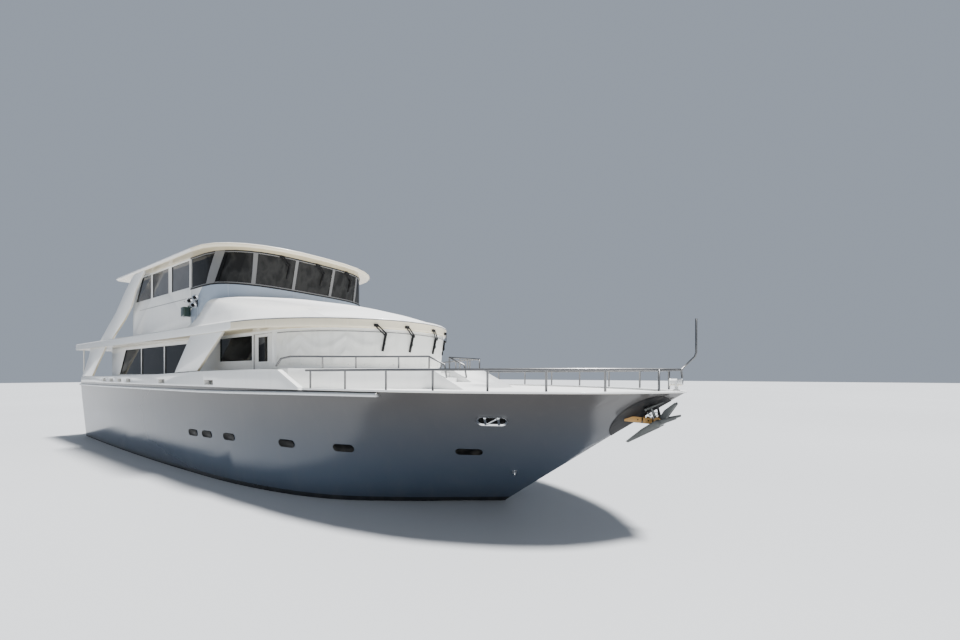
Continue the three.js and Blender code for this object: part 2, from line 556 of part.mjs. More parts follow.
const domeRows = [0, 0.25, 0.5, 0.75, 1].map(domeRing);

// The dome as a solid: the skin above, a flat floor below it.
function domeSolid() {
  const count = domeRows[0].length;
  const rings = [];
  for (let j = 0; j < count; j += 1) {
    const column = domeRows.map((row) => row[j].clone());
    const inner = column.at(-1).clone();
    inner.z = BOAT_DECK.top - DECK_LIP;
    const outer = column[0].clone();
    outer.z = BOAT_DECK.top - DECK_LIP;
    rings.push([...column, inner, outer]);
  }
  return loft(rings);
}

const helmForm = { tip: HELM.tip, corner: HELM.corner, half: HELM.half, aft: HELM.aft,
  exponent: HELM.exponent };
const helmTop = { ...helmForm, ...HELM_TOP };
const helmBody = noseLoft([[helmForm, BOAT_DECK.top - 600], [helmForm, HELM_WINDOW.sill - 60]], -GAP);
add('boat_deck', 'white', deckSlab.add(domeSolid().subtract(helmBody)));

// Pilothouse: walls from the boat deck to the roof, the window band leaning forward at the nose
const helmFoot = BOAT_DECK.top + GAP;
const helmLevels = [[helmForm, helmFoot], [helmForm, HELM_WINDOW.sill - 60], [helmTop, ROOF.under - GAP]];
// The same walls, carried on past their foot and head at the same lean
const helmTall = [[helmForm, helmFoot - 50], [helmForm, HELM_WINDOW.sill - 60],
  [{ ...helmTop, tip: HELM_TOP.tip - 15 }, ROOF.under + 50]];
const helmShell = noseLoft(helmLevels).subtract(noseLoft(helmTall, HELM.wall));

// Windows in the nose: [edge nearer the centreline, outer edge, where it ends aft], and the slanted
// corner window
const HELM_PANES = [[-650, 650, 13400], [750, 1850, 13400], [1960, 2900, 12450]];
const CORNER_PANE = [[13030, HELM_WINDOW.sill], [14080, HELM_WINDOW.sill], [14080, HELM_WINDOW.head],
  [12790, HELM_WINDOW.head]];
const HELM_SIDE_WINDOWS = [
  [[14220, 5850], [15660, 5850], [15660, 6730], [14220, 6730]],
  [[15970, 5850], [17440, 5850], [17440, 6730], [15970, 6730]],
  [[17640, 5850], [19190, 5850], [18500, 6730], [17640, 6730]],
];
const helmNoseCuts = HELM_PANES.flatMap(([inner, outer, aft]) => {
  const cut = block(ROOF.tip, aft, inner, outer, HELM_WINDOW.sill, HELM_WINDOW.head);
  return inner < 0 ? [cut] : pair(cut);
}).concat(pair(plate(CORNER_PANE, HELM.half - REACH, HELM.half + REACH)));
const helmFrontBlank = between(helmShell, ROOF.tip, HELM.seam - GAP);
add('pilothouse_front', 'white', helmNoseCuts.reduce((rest, cut) => rest.subtract(cut), helmFrontBlank));

const helmWall = block(HELM.seam, HELM.aft, HELM.half - HELM.wall, HELM.half, helmFoot, ROOF.under - GAP);
addPair('pilothouse_side', 'white', HELM_SIDE_WINDOWS.reduce((rest, outline) =>
  rest.subtract(plate(outline, HELM.half - REACH, HELM.half + REACH)), helmWall));

const UPPER_DOOR = { half: 450, bottom: 4500, top: 6450, set: 5, thick: 45 };
const helmInside = HELM.half - HELM.wall - GAP;
const upperFace = HELM.aft - UPPER_DOOR.set;
add('pilothouse_bulkhead', 'white', block(HELM.aft - HELM.wall, HELM.aft, -helmInside, helmInside, helmFoot,
  ROOF.under - GAP).subtract(block(HELM.aft - REACH, HELM.aft + REACH, -UPPER_DOOR.half, UPPER_DOOR.half,
  UPPER_DOOR.bottom, UPPER_DOOR.top)));
add('upper_door', 'white', block(upperFace - UPPER_DOOR.thick, upperFace, CLEAR - UPPER_DOOR.half,
  UPPER_DOOR.half - CLEAR, UPPER_DOOR.bottom + CLEAR, UPPER_DOOR.top - CLEAR),
knuckles(upperFace, UPPER_DOOR.half - CLEAR, UPPER_DOOR.bottom, UPPER_DOOR.top));

const HELM_GLASS = { aft: 19300, low: 5790, high: 6780 };
add('pilothouse_glass', 'glass', between(noseSkin(helmTall, HELM.wall + GAP, GLASS), 0, HELM_GLASS.aft,
  HELM_GLASS.low, HELM_GLASS.high));

// Roof with a crowned top, as rings: [distance inboard of its outline, height]
const ROOF_RINGS = [[60, ROOF.under], [0, ROOF.edge - 60], [0, ROOF.edge - 20], [45, ROOF.edge],
  [500, ROOF.crown - 30], [1100, ROOF.crown]];
add('pilothouse_roof', 'white', noseLoft(ROOF_RINGS.map(([inboard, z]) => [moved(ROOF, inboard), z]), 0, 8));

// Wing plates that join the decks: outlines of [aft, z] points between two widths
const WINGS = [
  { name: 'forward_wing', low: 3110, high: 3190, outline: [[10900, BOAT_DECK.under - GAP], [12500, 3105],
    [14150, 3060], [12950, BOAT_DECK.under - GAP]] },
  { name: 'aft_wing', low: 3085, high: 3165, outline: [[21500, BOAT_DECK.under - GAP], [22760, 3385],
    [23450, 2935], [25000, 2925], [23930, 3780], [23700, BOAT_DECK.under - GAP]] },
  { name: 'upper_wing', low: 2960, high: 3030, outline: [[17400, ROOF.under - GAP], [18360, 6170],
    [18830, 5620],
    [19570, 5190], [20700, 4700], [21200, BOAT_DECK.top + GAP], [22900, BOAT_DECK.top + GAP], [22420, 4680],
    [20700, 5510], [19480, 6290], [19000, 6540], [18500, ROOF.under - GAP]] },
];

// A plate whose outline may be hollow anywhere, standing between two widths
function cutout(outline, yLow, yHigh) {
  const shape = new THREE.Shape(outline.map(([aft, z]) => new THREE.Vector2(x(aft), z)));
  const geometry = new THREE.ExtrudeGeometry(shape, { depth: yHigh - yLow, bevelEnabled: false });
  geometry.rotateX(Math.PI / 2);
  geometry.translate(0, yHigh, 0);
  return solidOf(geometry);
}
const bulwarkSeat = edgeStrip(BULWARK.front, BULWARK.aft, BULWARK.proud + GAP, BULWARK.thick + GAP,
  () => capLow, (aft) => bulwarkTop(aft) + GAP, 800);
for (const { name, low, high, outline } of WINGS) {
  addPair(name, 'white', cutout(outline, low, high).subtract(bulwarkSeat));
}

// Bow rails, their posts at places aft
const RAIL = { top: 3110, radius: 21, post: 17, inboard: 55, front: 60, aft: 7100, step: 520, least: 90 };
const BOW_POSTS = [350, 1080, 1940, 2870, 3850, 4850, 5900, 6950];
const railZ = RAIL.top - RAIL.radius;
const railPath = sheerLine(RAIL.front, RAIL.aft, RAIL.inboard, RAIL.step);
const bowRail = BOW_POSTS.reduce((whole, aft) => {
  const [[, y]] = sheerLine(aft, aft + 1, RAIL.inboard);
  return whole.add(rod(at(aft, y, capTop + GAP), at(aft, y, railZ), RAIL.post, 6));
}, tube(railPath.map(([aft, y]) => at(aft, Math.max(y, RAIL.least), railZ)), RAIL.radius));
addPair('bow_rail', 'steel', bowRail);

// Jackstaff, held by a crossbar between the rails
const STAFF = { radius: 15, bar: 62, reach: 77, line: [[40, capTop + 240], [60, railZ], [-170, 3330],
  [-190, 3400], [-190, 4020]] };
add('jackstaff', 'steel', tube(STAFF.line.map(([aft, z]) => at(aft, 0, z)), STAFF.radius),
  rod(at(STAFF.bar, -STAFF.reach, railZ), at(STAFF.bar, STAFF.reach, railZ), STAFF.radius));

// Platform rails: [aft, half breadth, height] points, then the posts' places
const GUARD = { z: 3430, radius: 19, post: 16, end: 5330, half: 1060 };
const GUARD_PATH = [[8430, 3060, 3200], [8300, 3010, 3380], [8100, 2890, GUARD.z], [6870, 1960, GUARD.z],
  [6000, 1400, GUARD.z], [GUARD.end, GUARD.half, GUARD.z]];
const GUARD_POSTS = [[7500, 2436], [6870, 1960], [6000, 1400], [GUARD.end, GUARD.half]];
// A handrail's way down the stair: [aft, z]
const HAND = { y: 290, path: [[4860, 3230], [4800, 2960]] };
const handFootZ = THREE.MathUtils.mapLinear(HAND.path[1][0], PLATFORM.toe, PLATFORM.brow + 1, capLow,
  PLATFORM_Z) + 12;

function guardPost(aft, y) {
  return rod(at(aft, y, PLATFORM_Z + GAP), at(aft, y, GUARD.z), GUARD.post, 6);
}

function handFoot(y) {
  const [aft, z] = HAND.path.at(-1);
  return rod(at(aft, y, handFootZ), at(aft, y, z), GUARD.post, 6);
}

function handLine(y) {
  return HAND.path.map(([aft, z]) => at(aft, y, z));
}
const guardLine = GUARD_PATH.map(([aft, y, z]) => at(aft, y, z));
const guardPosts = GUARD_POSTS.map(([aft, y]) => guardPost(aft, y));
add('platform_rail_port', 'steel', tube(guardLine, GUARD.radius), ...guardPosts);
add('platform_rail_starboard', 'steel', tube([...guardLine.map(acrossFrom), ...handLine(-GUARD.half)],
  GUARD.radius), ...guardPosts.map(mirrored), handFoot(-GUARD.half));

// The stair's inner handrail turns across the platform's front and ends at the port rail
const CROSS_POSTS = [-HAND.y, 150, 600];
const crossLine = [GUARD.half - GUARD.radius - GAP, -HAND.y].map((y) => at(GUARD.end, y, GUARD.z));
add('stair_rail', 'steel', tube([...crossLine, ...handLine(-HAND.y)], GUARD.radius),
  ...CROSS_POSTS.map((y) => guardPost(GUARD.end, y)), handFoot(-HAND.y));

// Fittings on the foredeck and the stem
const LAMP = { front: 20, aft: 260, half: 105, low: 2770, high: 2930, stem: 110, radius: 45 };
add('searchlight', 'white',
  rod(at(LAMP.stem, 0, capTop + GAP), at(LAMP.stem, 0, LAMP.low + 20), LAMP.radius, 12)
  .add(block(LAMP.front, LAMP.aft, -LAMP.half, LAMP.half, LAMP.low, LAMP.high)));

// An oval plate on both bows round the anchor, its long axis along the stem
const OVAL = { aft: 790, z: 2135, long: 690, short: 240, points: 24, slope: 0.66, skin: 14, half: 1500,
  back: 3000 };
const oval = Array.from({ length: OVAL.points }, (_, i) => {
  const angle = (i / OVAL.points) * 2 * Math.PI;
  return new THREE.Vector2(OVAL.long * Math.cos(angle), OVAL.short * Math.sin(angle))
    .rotateAround(new THREE.Vector2(), -OVAL.slope);
}).map((p) => [OVAL.aft + p.x, OVAL.z + p.y]);
const stemSkin = hullForm(OVAL.skin).subtract(hullForm(GAP));
add('anchor_plate', 'black', cutout(oval, -OVAL.half, OVAL.half).intersect(stemSkin)
  .intersect(block(-REACH, OVAL.back, -OVAL.half, OVAL.half, 0, SHEER_Z - 30)));

// Anchor: a level shank out of the stem, a cross bar, and on each side two flukes and a prong, as
// outlines of [aft, z] points
const SHANK = { aft: 1000, crown: 420, z: 2090, radius: 55, bar: 65, half: 330 };
const FLUKE_DOWN = [[470, 2140], [390, 2010], [960, 1680], [1010, 1700], [720, 1960]];
const FLUKE_UP = [[480, 2080], [380, 2050], [130, 2440], [150, 2480], [330, 2330]];
const PRONG = [[430, 2150], [410, 2050], [100, 2190], [100, 2230]];
const anchorArms = [...pair(plate(FLUKE_DOWN, 150, 225)), ...pair(plate(FLUKE_UP, 90, 145)),
  ...pair(plate(PRONG, 250, 300)), rod(at(SHANK.crown, -SHANK.half, SHANK.z), at(SHANK.crown, SHANK.half,
    SHANK.z), SHANK.bar, 10)];
const anchorWhole = anchorArms.reduce((whole, arm) => whole.add(arm),
  tube([at(SHANK.aft, 0, SHANK.z + 20), at(SHANK.crown, 0, SHANK.z)], SHANK.radius, 8));
add('bow_anchor', 'steel', anchorWhole.subtract(hullForm(OVAL.skin + GAP)));

// Lights and horns on the pilothouse side
const LIGHT = { front: 14125, aft: 14385, low: 4880, high: 5190, deep: 190 };
const lightBox = block(LIGHT.front, LIGHT.aft, HELM.half + GAP, HELM.half + LIGHT.deep, LIGHT.low,
  LIGHT.high);
add('sidelight_port', 'red', lightBox);
add('sidelight_starboard', 'green', mirrored(lightBox));

// Three trumpets on one bracket: the places [aft, z] of their mouths
const HORNS = {
  y: 2900, long: 390, bell: 130, radius: 90, throat: 30, arm: 260, mouths: [[13380, 5410], [13790, 5350],
    [13500, 5180]],
};
const BRACKET_PLATE = { front: 13600, aft: 14110, low: 5150, high: 5440, thick: 40 };
const hornBracket = block(BRACKET_PLATE.front, BRACKET_PLATE.aft, HELM.half + GAP,
  HELM.half + BRACKET_PLATE.thick, BRACKET_PLATE.low, BRACKET_PLATE.high);
const hornGroup = HORNS.mouths.reduce((whole, [aft, z]) => whole
  .add(block(aft + HORNS.arm, aft + HORNS.arm + 60, HELM.half + 20, HORNS.y, z - 20, z + 20))
  .add(rod(at(aft + HORNS.long, HORNS.y, z), at(aft + HORNS.bell - 10, HORNS.y, z), HORNS.throat, 10))
  .add(rod(at(aft + HORNS.bell, HORNS.y, z), at(aft, HORNS.y, z), HORNS.throat, 12, HORNS.radius)),
    hornBracket);
addPair('horns', 'steel', hornGroup);

// Radar mast on the roof: a tapered leg from four corners below to four above, with a spreader and a drive
const MAST = { axis: 17820, foot: ROOF.crown + GAP, top: 8150, drive: 8290, radius: 110 };
const MAST_RINGS = [
  { front: 17250, aft: 18050, half: 260, z: MAST.foot },
  { front: 17650, aft: 18000, half: 140, z: MAST.top },
];
const SPREADER = { front: 17700, aft: 17860, half: 750, low: 7820, high: 7880 };
const SCANNER = { half: 800, deep: 70, low: 8310, high: 8430, stem: 60 };
const mastLeg = loft(MAST_RINGS.map(({ front, aft, half, z }) =>
  [[front, half], [aft, half], [aft, -half], [front, -half]].map(([place, y]) => at(place, y, z))));
add('radar_mast', 'white', mastLeg,
  block(SPREADER.front, SPREADER.aft, -SPREADER.half, SPREADER.half, SPREADER.low, SPREADER.high),
  rod(at(MAST.axis, 0, MAST.top - 50), at(MAST.axis, 0, MAST.drive), MAST.radius, 16));
add('radar_scanner', 'white', block(MAST.axis - SCANNER.deep, MAST.axis + SCANNER.deep, -SCANNER.half,
  SCANNER.half, SCANNER.low, SCANNER.high),
rod(at(MAST.axis, 0, MAST.drive + GAP), at(MAST.axis, 0, SCANNER.low + 20), SCANNER.stem, 12));

// Drive: shafts in struts, propellers that turn, rudders that steer
const DRIVE = { front: 18000, high: -700, aft: 23330, radius: 38, barrel: 75, barrelFront: 23100, strut: 25 };
const STRUT = [[22900, DRIVE.high], [23250, DRIVE.high], [DRIVE.aft, SHAFT.z], [23130, SHAFT.z]];
const hullBelow = hullForm(GAP).translate([0, 0, -GAP]);
const strut = plate(STRUT, SHAFT.y - DRIVE.strut, SHAFT.y + DRIVE.strut);
const shaftRun = rod(at(DRIVE.front, SHAFT.y, DRIVE.high), at(DRIVE.aft, SHAFT.y, SHAFT.z), DRIVE.radius, 10);
const barrel = rod(at(DRIVE.barrelFront, SHAFT.y, SHAFT.z),
  at(SHAFT.propeller - PROPELLER.hubFront - GAP, SHAFT.y, SHAFT.z), DRIVE.barrel, 12);
addPair('propeller_shaft', 'bronze', shaftRun.add(strut).add(barrel).subtract(hullBelow));

// A blade's sections stand at these shares of its reach; each has points [along its chord, across it]
const BLADE = { shares: [0, 0.35, 0.7, 1], root: 60, half: 150, rake: 0.6, pitch: [0.95, 0.45] };
function bladeSection(share, side, centre) {
  const radius = THREE.MathUtils.lerp(BLADE.root, PROPELLER.radius, share);
  const half = BLADE.half * Math.sin(Math.PI * (0.25 + share * 0.62));
  const pitch = side * THREE.MathUtils.lerp(...BLADE.pitch, share);
  return [[-half, -9], [0, -13], [half, -6], [half, 6], [0, 13], [-half, 9]].map(([along, thick]) =>
    new THREE.Vector3(centre + along * Math.sin(pitch) * BLADE.rake - thick * Math.cos(pitch),
      along * Math.cos(pitch) + thick * Math.sin(pitch), radius));
}

function propeller(side) {
  const centre = x(SHAFT.propeller);
  const blade = loft(BLADE.shares.map((share) => bladeSection(share, side, centre)))
    .translate([-centre, 0, 0]);
  let whole = rod(at(SHAFT.propeller + PROPELLER.hubBack, 0, 0), at(SHAFT.propeller - PROPELLER.hubFront, 0,
    0), PROPELLER.hubEnd, 12, PROPELLER.hub);
  for (let i = 0; i < PROPELLER.blades; i += 1) {
    whole = whole.add(blade.rotate([(i * 360) / PROPELLER.blades, 0, 0]).translate([centre, 0, 0]));
  }
  return whole.translate([0, side * SHAFT.y, SHAFT.z]);
}
add('propeller_port', 'bronze', propeller(1));
add('propeller_starboard', 'bronze', propeller(-1));

// A rudder's section: [share of the chord aft of its stock, half thickness]
const FOIL = [[-0.36, 0], [-0.28, 32], [0, 42], [0.64, 8], [0.64, -8], [0, -42], [-0.28, -32]];
function rudder(side) {
  const blade = loft([RUDDER.bottom, RUDDER.top].map((z) => FOIL.map(([share, thick]) =>
    at(RUDDER.aft + share * RUDDER.chord, side * SHAFT.y + thick, z))));
  return blade.add(rod(at(RUDDER.aft, side * SHAFT.y, RUDDER.top - 60),
    at(RUDDER.aft, side * SHAFT.y, RUDDER.bossBottom - GAP), RUDDER.stock, 12));
}
add('rudder_port', 'antifoul', rudder(1));
add('rudder_starboard', 'antifoul', rudder(-1));

export default yacht;
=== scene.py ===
"""Looks of a motor yacht moored afloat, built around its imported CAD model.

Metres; +X is the bow, +Y is port, +Z is up; the origin is amidships on the waterline.
"""

from contextlib import contextmanager
import math

import bmesh
import bpy
from mathutils.bvhtree import BVHTree
from mathutils import Matrix, Vector


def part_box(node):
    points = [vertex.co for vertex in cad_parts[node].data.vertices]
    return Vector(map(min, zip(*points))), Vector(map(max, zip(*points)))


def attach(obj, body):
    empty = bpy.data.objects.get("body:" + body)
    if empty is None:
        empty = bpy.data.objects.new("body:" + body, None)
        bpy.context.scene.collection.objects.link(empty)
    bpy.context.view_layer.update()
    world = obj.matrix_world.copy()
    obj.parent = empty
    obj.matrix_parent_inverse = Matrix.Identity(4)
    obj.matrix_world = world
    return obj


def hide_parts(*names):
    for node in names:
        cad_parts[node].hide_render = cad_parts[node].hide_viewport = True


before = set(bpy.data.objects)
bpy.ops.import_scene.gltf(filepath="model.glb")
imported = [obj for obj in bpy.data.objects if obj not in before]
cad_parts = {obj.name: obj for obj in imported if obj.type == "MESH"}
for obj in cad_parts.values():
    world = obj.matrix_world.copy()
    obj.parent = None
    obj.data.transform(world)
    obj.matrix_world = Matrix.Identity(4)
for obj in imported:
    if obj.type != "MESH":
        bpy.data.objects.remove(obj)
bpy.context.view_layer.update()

bl_info = {
    "name": "Motor yacht",
    "version": (1, 0, 0),
    "blender": (4, 5, 0),
    "location": "3D View > Sidebar > Yacht",
    "description": "Finishes and fittings of a motor yacht, one operator for each group of pieces",
    "category": "Object",
}

STEM_X = 13.65           # stem head, forward of the origin
SIDES = {"port": 1, "starboard": -1}
TO_PORT, ASTERN = (0, 1, 0), (-1, 0, 0)
TINY = 0.00005           # vertices closer than this are one
SMOOTH_MARGIN = 5        # degrees by which smooth shading reaches past the bevelled angles
REVEALS_IN = 0.25        # a front's faces across it are window reveals this far inside its full width


# Sizes and colours that a user may change

COLOUR = {"subtype": "COLOR", "size": 3, "min": 0, "max": 1}
HEIGHT = {"description": "Height above the water", "unit": "LENGTH"}


class YachtSizes(bpy.types.PropertyGroup):
    """Sizes of the pieces that are added round the CAD model."""
    edge: bpy.props.FloatProperty(
        name="Edge radius", description="Rounding of painted edges", default=0.012, min=0.001, unit="LENGTH")
    glass_set_back: bpy.props.FloatProperty(
        name="Glass set-back", description="How far the panes lie behind the painted wall", default=0.022,
        min=0.005, unit="LENGTH")
    stripe_low: bpy.props.FloatProperty(name="Boot stripe, lower edge", default=0.035, **HEIGHT)
    stripe_high: bpy.props.FloatProperty(name="Boot stripe, upper edge", default=0.115, **HEIGHT)
    wiper_arm: bpy.props.FloatProperty(
        name="Wiper reach", description="How far a wiper hangs down", default=0.62, unit="LENGTH")


class YachtColours(bpy.types.PropertyGroup):
    """Colours of the main finishes."""
    hull: bpy.props.FloatVectorProperty(
        name="Hull", description="Topside paint", default=(0.068, 0.071, 0.077), **COLOUR)
    house: bpy.props.FloatVectorProperty(
        name="Superstructure", description="White topcoat", default=(0.86, 0.86, 0.84), **COLOUR)
    cover: bpy.props.FloatVectorProperty(
        name="Window cover", description="Woven cover", default=(0.80, 0.80, 0.76), **COLOUR)
    bottom: bpy.props.FloatVectorProperty(
        name="Bottom paint", description="Antifouling", default=(0.012, 0.013, 0.016), **COLOUR)


def sizes():
    return bpy.context.scene.yacht_sizes


def colours():
    return bpy.context.scene.yacht_colours


def both(*names):
    """The names of paired pieces or nodes, port before starboard."""
    return [f"{name}_{side}" for name in names for side in SIDES]


# Shader nodes

class Graph:
    """A shader tree and the coordinates that its textures use. Each value may be a socket or plain."""

    def __init__(self, tree, place=None):
        self.nodes, self.links, self.place = tree.nodes, tree.links, place

    def put(self, socket, value):
        """Links or sets one input."""
        if isinstance(value, bpy.types.NodeSocket):
            self.links.new(value, socket)
        else:
            socket.default_value = (*value[:3], 1.0) if socket.type == "RGBA" else value

    def add(self, kind, inputs=(), **settings):
        """A new node with its settings and inputs; returns its outputs."""
        node = self.nodes.new(f"ShaderNode{kind}")
        for name, value in settings.items():
            setattr(node, name, value)
        for label, value in dict(inputs).items():
            self.put(node.inputs[label], value)
        return node.outputs

    def noise(self, scale, detail=3.0, stretch=None):
        """A noise texture, stretched if three factors are given."""
        vector = self.place
        if stretch:
            vector = self.add("Mapping", {"Vector": vector, "Scale": stretch})["Vector"]
        return self.add("TexNoise", {"Vector": vector, "Scale": scale, "Detail": detail})["Fac"]

    def ramp(self, value, low, high, low_out=0.0, high_out=1.0):
        """A value mapped from one range to another, clamped."""
        return self.add("MapRange", {"Value": value, "From Min": low, "From Max": high, "To Min": low_out,
                                     "To Max": high_out})["Result"]

    def mix(self, factor, first, second):
        """One colour mixed into another."""
        node = self.nodes.new("ShaderNodeMix")
        node.data_type = "RGBA"
        sockets = {socket.identifier: socket for socket in (*node.inputs, *node.outputs)}
        for label, value in (("Factor_Float", factor), ("A_Color", first), ("B_Color", second)):
            self.put(sockets[label], value)
        return sockets["Result_Color"]

    def maths(self, operation, first, second=0.0):
        node = self.nodes.new("ShaderNodeMath")
        node.operation = operation
        for socket, value in zip(node.inputs, (first, second)):
            self.put(socket, value)
        return node.outputs["Value"]

    def plus(self, first, second):
        return self.maths("ADD", first, second)

    def minus(self, first, second):
        return self.maths("SUBTRACT", first, second)

    def times(self, first, second):
        return self.maths("MULTIPLY", first, second)

    def group(self, name, **inputs):
        """A node group on the tree's coordinates; returns its outputs."""
        return self.add("Group", {"Vector": self.place, **inputs}, node_tree=bpy.data.node_groups[name])


def new_group(name, inputs, outputs):
    """A node group on a vector; inputs have their defaults. Returns its graph and both ends' sockets."""
    group = bpy.data.node_groups.new(name, "ShaderNodeTree")
    group.interface.new_socket("Vector", in_out="INPUT", socket_type="NodeSocketVector")
    for label, default in inputs.items():
        kind = "NodeSocketColor" if isinstance(default, tuple) else "NodeSocketFloat"
        group.interface.new_socket(label, in_out="INPUT", socket_type=kind).default_value = default
    for label in outputs:
        kind = "NodeSocketColor" if label == "Colour" else "NodeSocketFloat"
        group.interface.new_socket(label, in_out="OUTPUT", socket_type=kind)
    source = group.nodes.new("NodeGroupInput").outputs
    return Graph(group, source["Vector"]), source, group.nodes.new("NodeGroupOutput").inputs


def build_weather_group():
    """Slight fading, rain streaks and dust that every outdoor finish shares."""
    graph, source, sink = new_group(
        "weathering", {"Colour": (0.8, 0.8, 0.8, 1), "Roughness": 0.3, "Streaks": 0.3, "Fading": 0.3},
        ("Colour", "Roughness", "Height"))
    colour = source["Colour"]
    streak = graph.ramp(graph.noise(1.0, 4.0, stretch=(5.0, 5.0, 0.35)), 0.52, 0.75)
    streak = graph.times(streak, source["Streaks"])
    patch = graph.times(graph.ramp(graph.noise(0.45, 2.0), 0.35, 0.7), source["Fading"])
    dark = graph.mix(0.55, colour, (0.16, 0.15, 0.13))
    faded = graph.mix(patch, colour, graph.mix(0.12, colour, (0.75, 0.75, 0.75)))
    graph.put(sink["Colour"], graph.mix(streak, faded, dark))
    rough = graph.plus(source["Roughness"], graph.times(patch, 0.2))
    graph.put(sink["Roughness"], graph.plus(rough, graph.times(streak, 0.25)))
    graph.put(sink["Height"], graph.plus(graph.times(graph.noise(60.0, 2.0), 0.15), patch))


def build_height_group():
    """Masks for surfaces that face up and down, and the height above the water."""
    graph, _, sink = new_group("facing_and_height", {}, ("Upward", "Downward", "Height"))
    facing = graph.add("SeparateXYZ", {"Vector": graph.add("NewGeometry")["Normal"]})["Z"]
    graph.put(sink["Upward"], graph.ramp(facing, 0.93, 0.97))
    graph.put(sink["Downward"], graph.ramp(facing, -0.6, -0.9))
    graph.put(sink["Height"], graph.add("SeparateXYZ", {"Vector": graph.place})["Z"])


def build_weave_group():
    """Two crossed thread patterns for woven cloth."""
    graph, source, sink = new_group("weave", {"Thread": 300.0}, ("Mask",))
    threads = [graph.add("TexWave", {"Vector": graph.place, "Scale": source["Thread"]},
                         bands_direction=direction)["Fac"] for direction in ("X", "Z")]
    graph.put(sink["Mask"], graph.times(*threads))


# Materials

class Surface(Graph):
    """A new material, with its Principled shader's inputs and plain values for some of them."""

    def __init__(self, name, plain=()):
        self.material = bpy.data.materials.new(name)
        self.material.use_nodes = True
        super().__init__(self.material.node_tree)
        self.place = self.add("TexCoord")["Object"]
        self.shader = self.nodes["Principled BSDF"].inputs
        for label, value in dict(plain).items():
            self.put(self.shader[label], value)

    def weathered(self, colour, roughness, streaks, fading):
        """The shared weathering's outputs."""
        return self.group("weathering", Colour=colour, Roughness=roughness, Streaks=streaks, Fading=fading)

    def finished(self, colour, roughness, height=None, distance=0.0, strength=0.4):
        """Puts a colour, a roughness and, with a height, a bump on the shader; returns the material."""
        self.put(self.shader["Base Color"], colour)
        self.put(self.shader["Roughness"], roughness)
        if height is not None:
            relief = self.add("Bump", {"Distance": distance, "Strength": strength, "Height": height})
            self.put(self.shader["Normal"], relief["Normal"])
        return self.material

    def decked(self, out, upward, matt, coat, dull, grain, distance, strength=0.4):
        """Finishes a paint that has no coat where it is matt, and grit where it faces up."""
        self.put(self.shader["Coat Weight"], self.minus(coat, self.times(matt, coat)))
        height = self.plus(out["Height"], self.times(self.noise(grain, 2.0), upward))
        rough = self.plus(out["Roughness"], self.times(matt, dull))
        return self.finished(out["Colour"], rough, height, distance, strength)


def painted(name, colour, roughness, coat=0.0, streaks=0.25, fading=0.3, specular=0.5):
    """A painted or moulded surface with the shared weathering."""
    paint = Surface(name, {"Coat Roughness": 0.06, "Coat Weight": coat, "Specular IOR Level": specular})
    out = paint.weathered(colour, roughness, streaks, fading)
    return paint.finished(out["Colour"], out["Roughness"], out["Height"], 0.0004)


def hull_material():
    """Grey topsides, bluer low down and warmer high up as painted reflections, a black boot stripe, bottom
    paint below it and a pale deck on top.
    """
    ragged = 0.002          # half the height over which the stripe's edges wander
    paint = Surface("hull_paint", {"Coat Roughness": 0.05, "Specular IOR Level": 0.24})
    side = paint.group("facing_and_height")
    height, upward = side["Height"], side["Upward"]
    edge = paint.plus(height, paint.ramp(paint.noise(0.8, 2.0), 0.3, 0.7, -ragged, ragged))
    above = paint.ramp(edge, sizes().stripe_high - ragged, sizes().stripe_high + ragged)
    below = paint.ramp(edge, sizes().stripe_low + ragged, sizes().stripe_low - ragged)
    # painted reflection: the hull paint's own grey is made bluer low down, where the water shows in it, and
    # warmer high up, where the dock does
    low, high = ([part * factor for part, factor in zip(colours().hull, factors)]
                 for factors in ((0.98, 1.26, 1.62), (1.12, 1.02, 0.92)))
    topside = paint.mix(paint.ramp(height, 0.6, 2.5), low, high)
    colour = paint.mix(below, paint.mix(above, (0.018, 0.020, 0.024), topside), colours().bottom)
    splash = paint.times(paint.ramp(height, 0.75, 0.1),
                         paint.ramp(paint.noise(2.5, 5.0, stretch=(1, 1, 0.4)), 0.45, 0.75))
    colour = paint.mix(paint.times(splash, 0.10), colour, (0.25, 0.24, 0.22))
    out = paint.weathered(paint.mix(upward, colour, colours().house), 0.14, 0.10, 0.12)
    matt = paint.maths("MAXIMUM", upward, below)
    return paint.decked(out, upward, matt, 0.08, 0.45, 160.0, 0.0004, 0.25)


def topcoat_material():
    """White topcoat; surfaces that face up are non-skid, those that face down are cream, a painted warm light
    bounced up from below.
    """
    paint = Surface("white_topcoat", {"Coat Roughness": 0.05})
    side = paint.group("facing_and_height")
    upward = side["Upward"]
    colour = paint.mix(upward, colours().house, (0.82, 0.82, 0.80))
    # painted bounce light: faces that look down are turned warm cream, as if lit by light bounced up from the
    # decks and dock below
    out = paint.weathered(paint.mix(side["Downward"], colour, (0.70, 0.60, 0.40)), 0.22, 0.10, 0.10)
    return paint.decked(out, upward, upward, 0.5, 0.35, 140.0, 0.0005)


def glass_material(name, tint, dusty, reflectance):
    """Tinted panes with faint dust and water marks."""
    pane = Surface(name, {"IOR": 1.45, "Transmission Weight": 0.12, "Specular IOR Level": reflectance})
    marks = pane.ramp(pane.noise(3.0, 5.0, stretch=(1, 1, 0.5)), 0.45, 0.8, 0.03, 0.14)
    dust = pane.ramp(pane.noise(1.2), 0.4, 0.8, 0.0, 0.5)
    return pane.finished(pane.mix(dust, tint, dusty), marks)


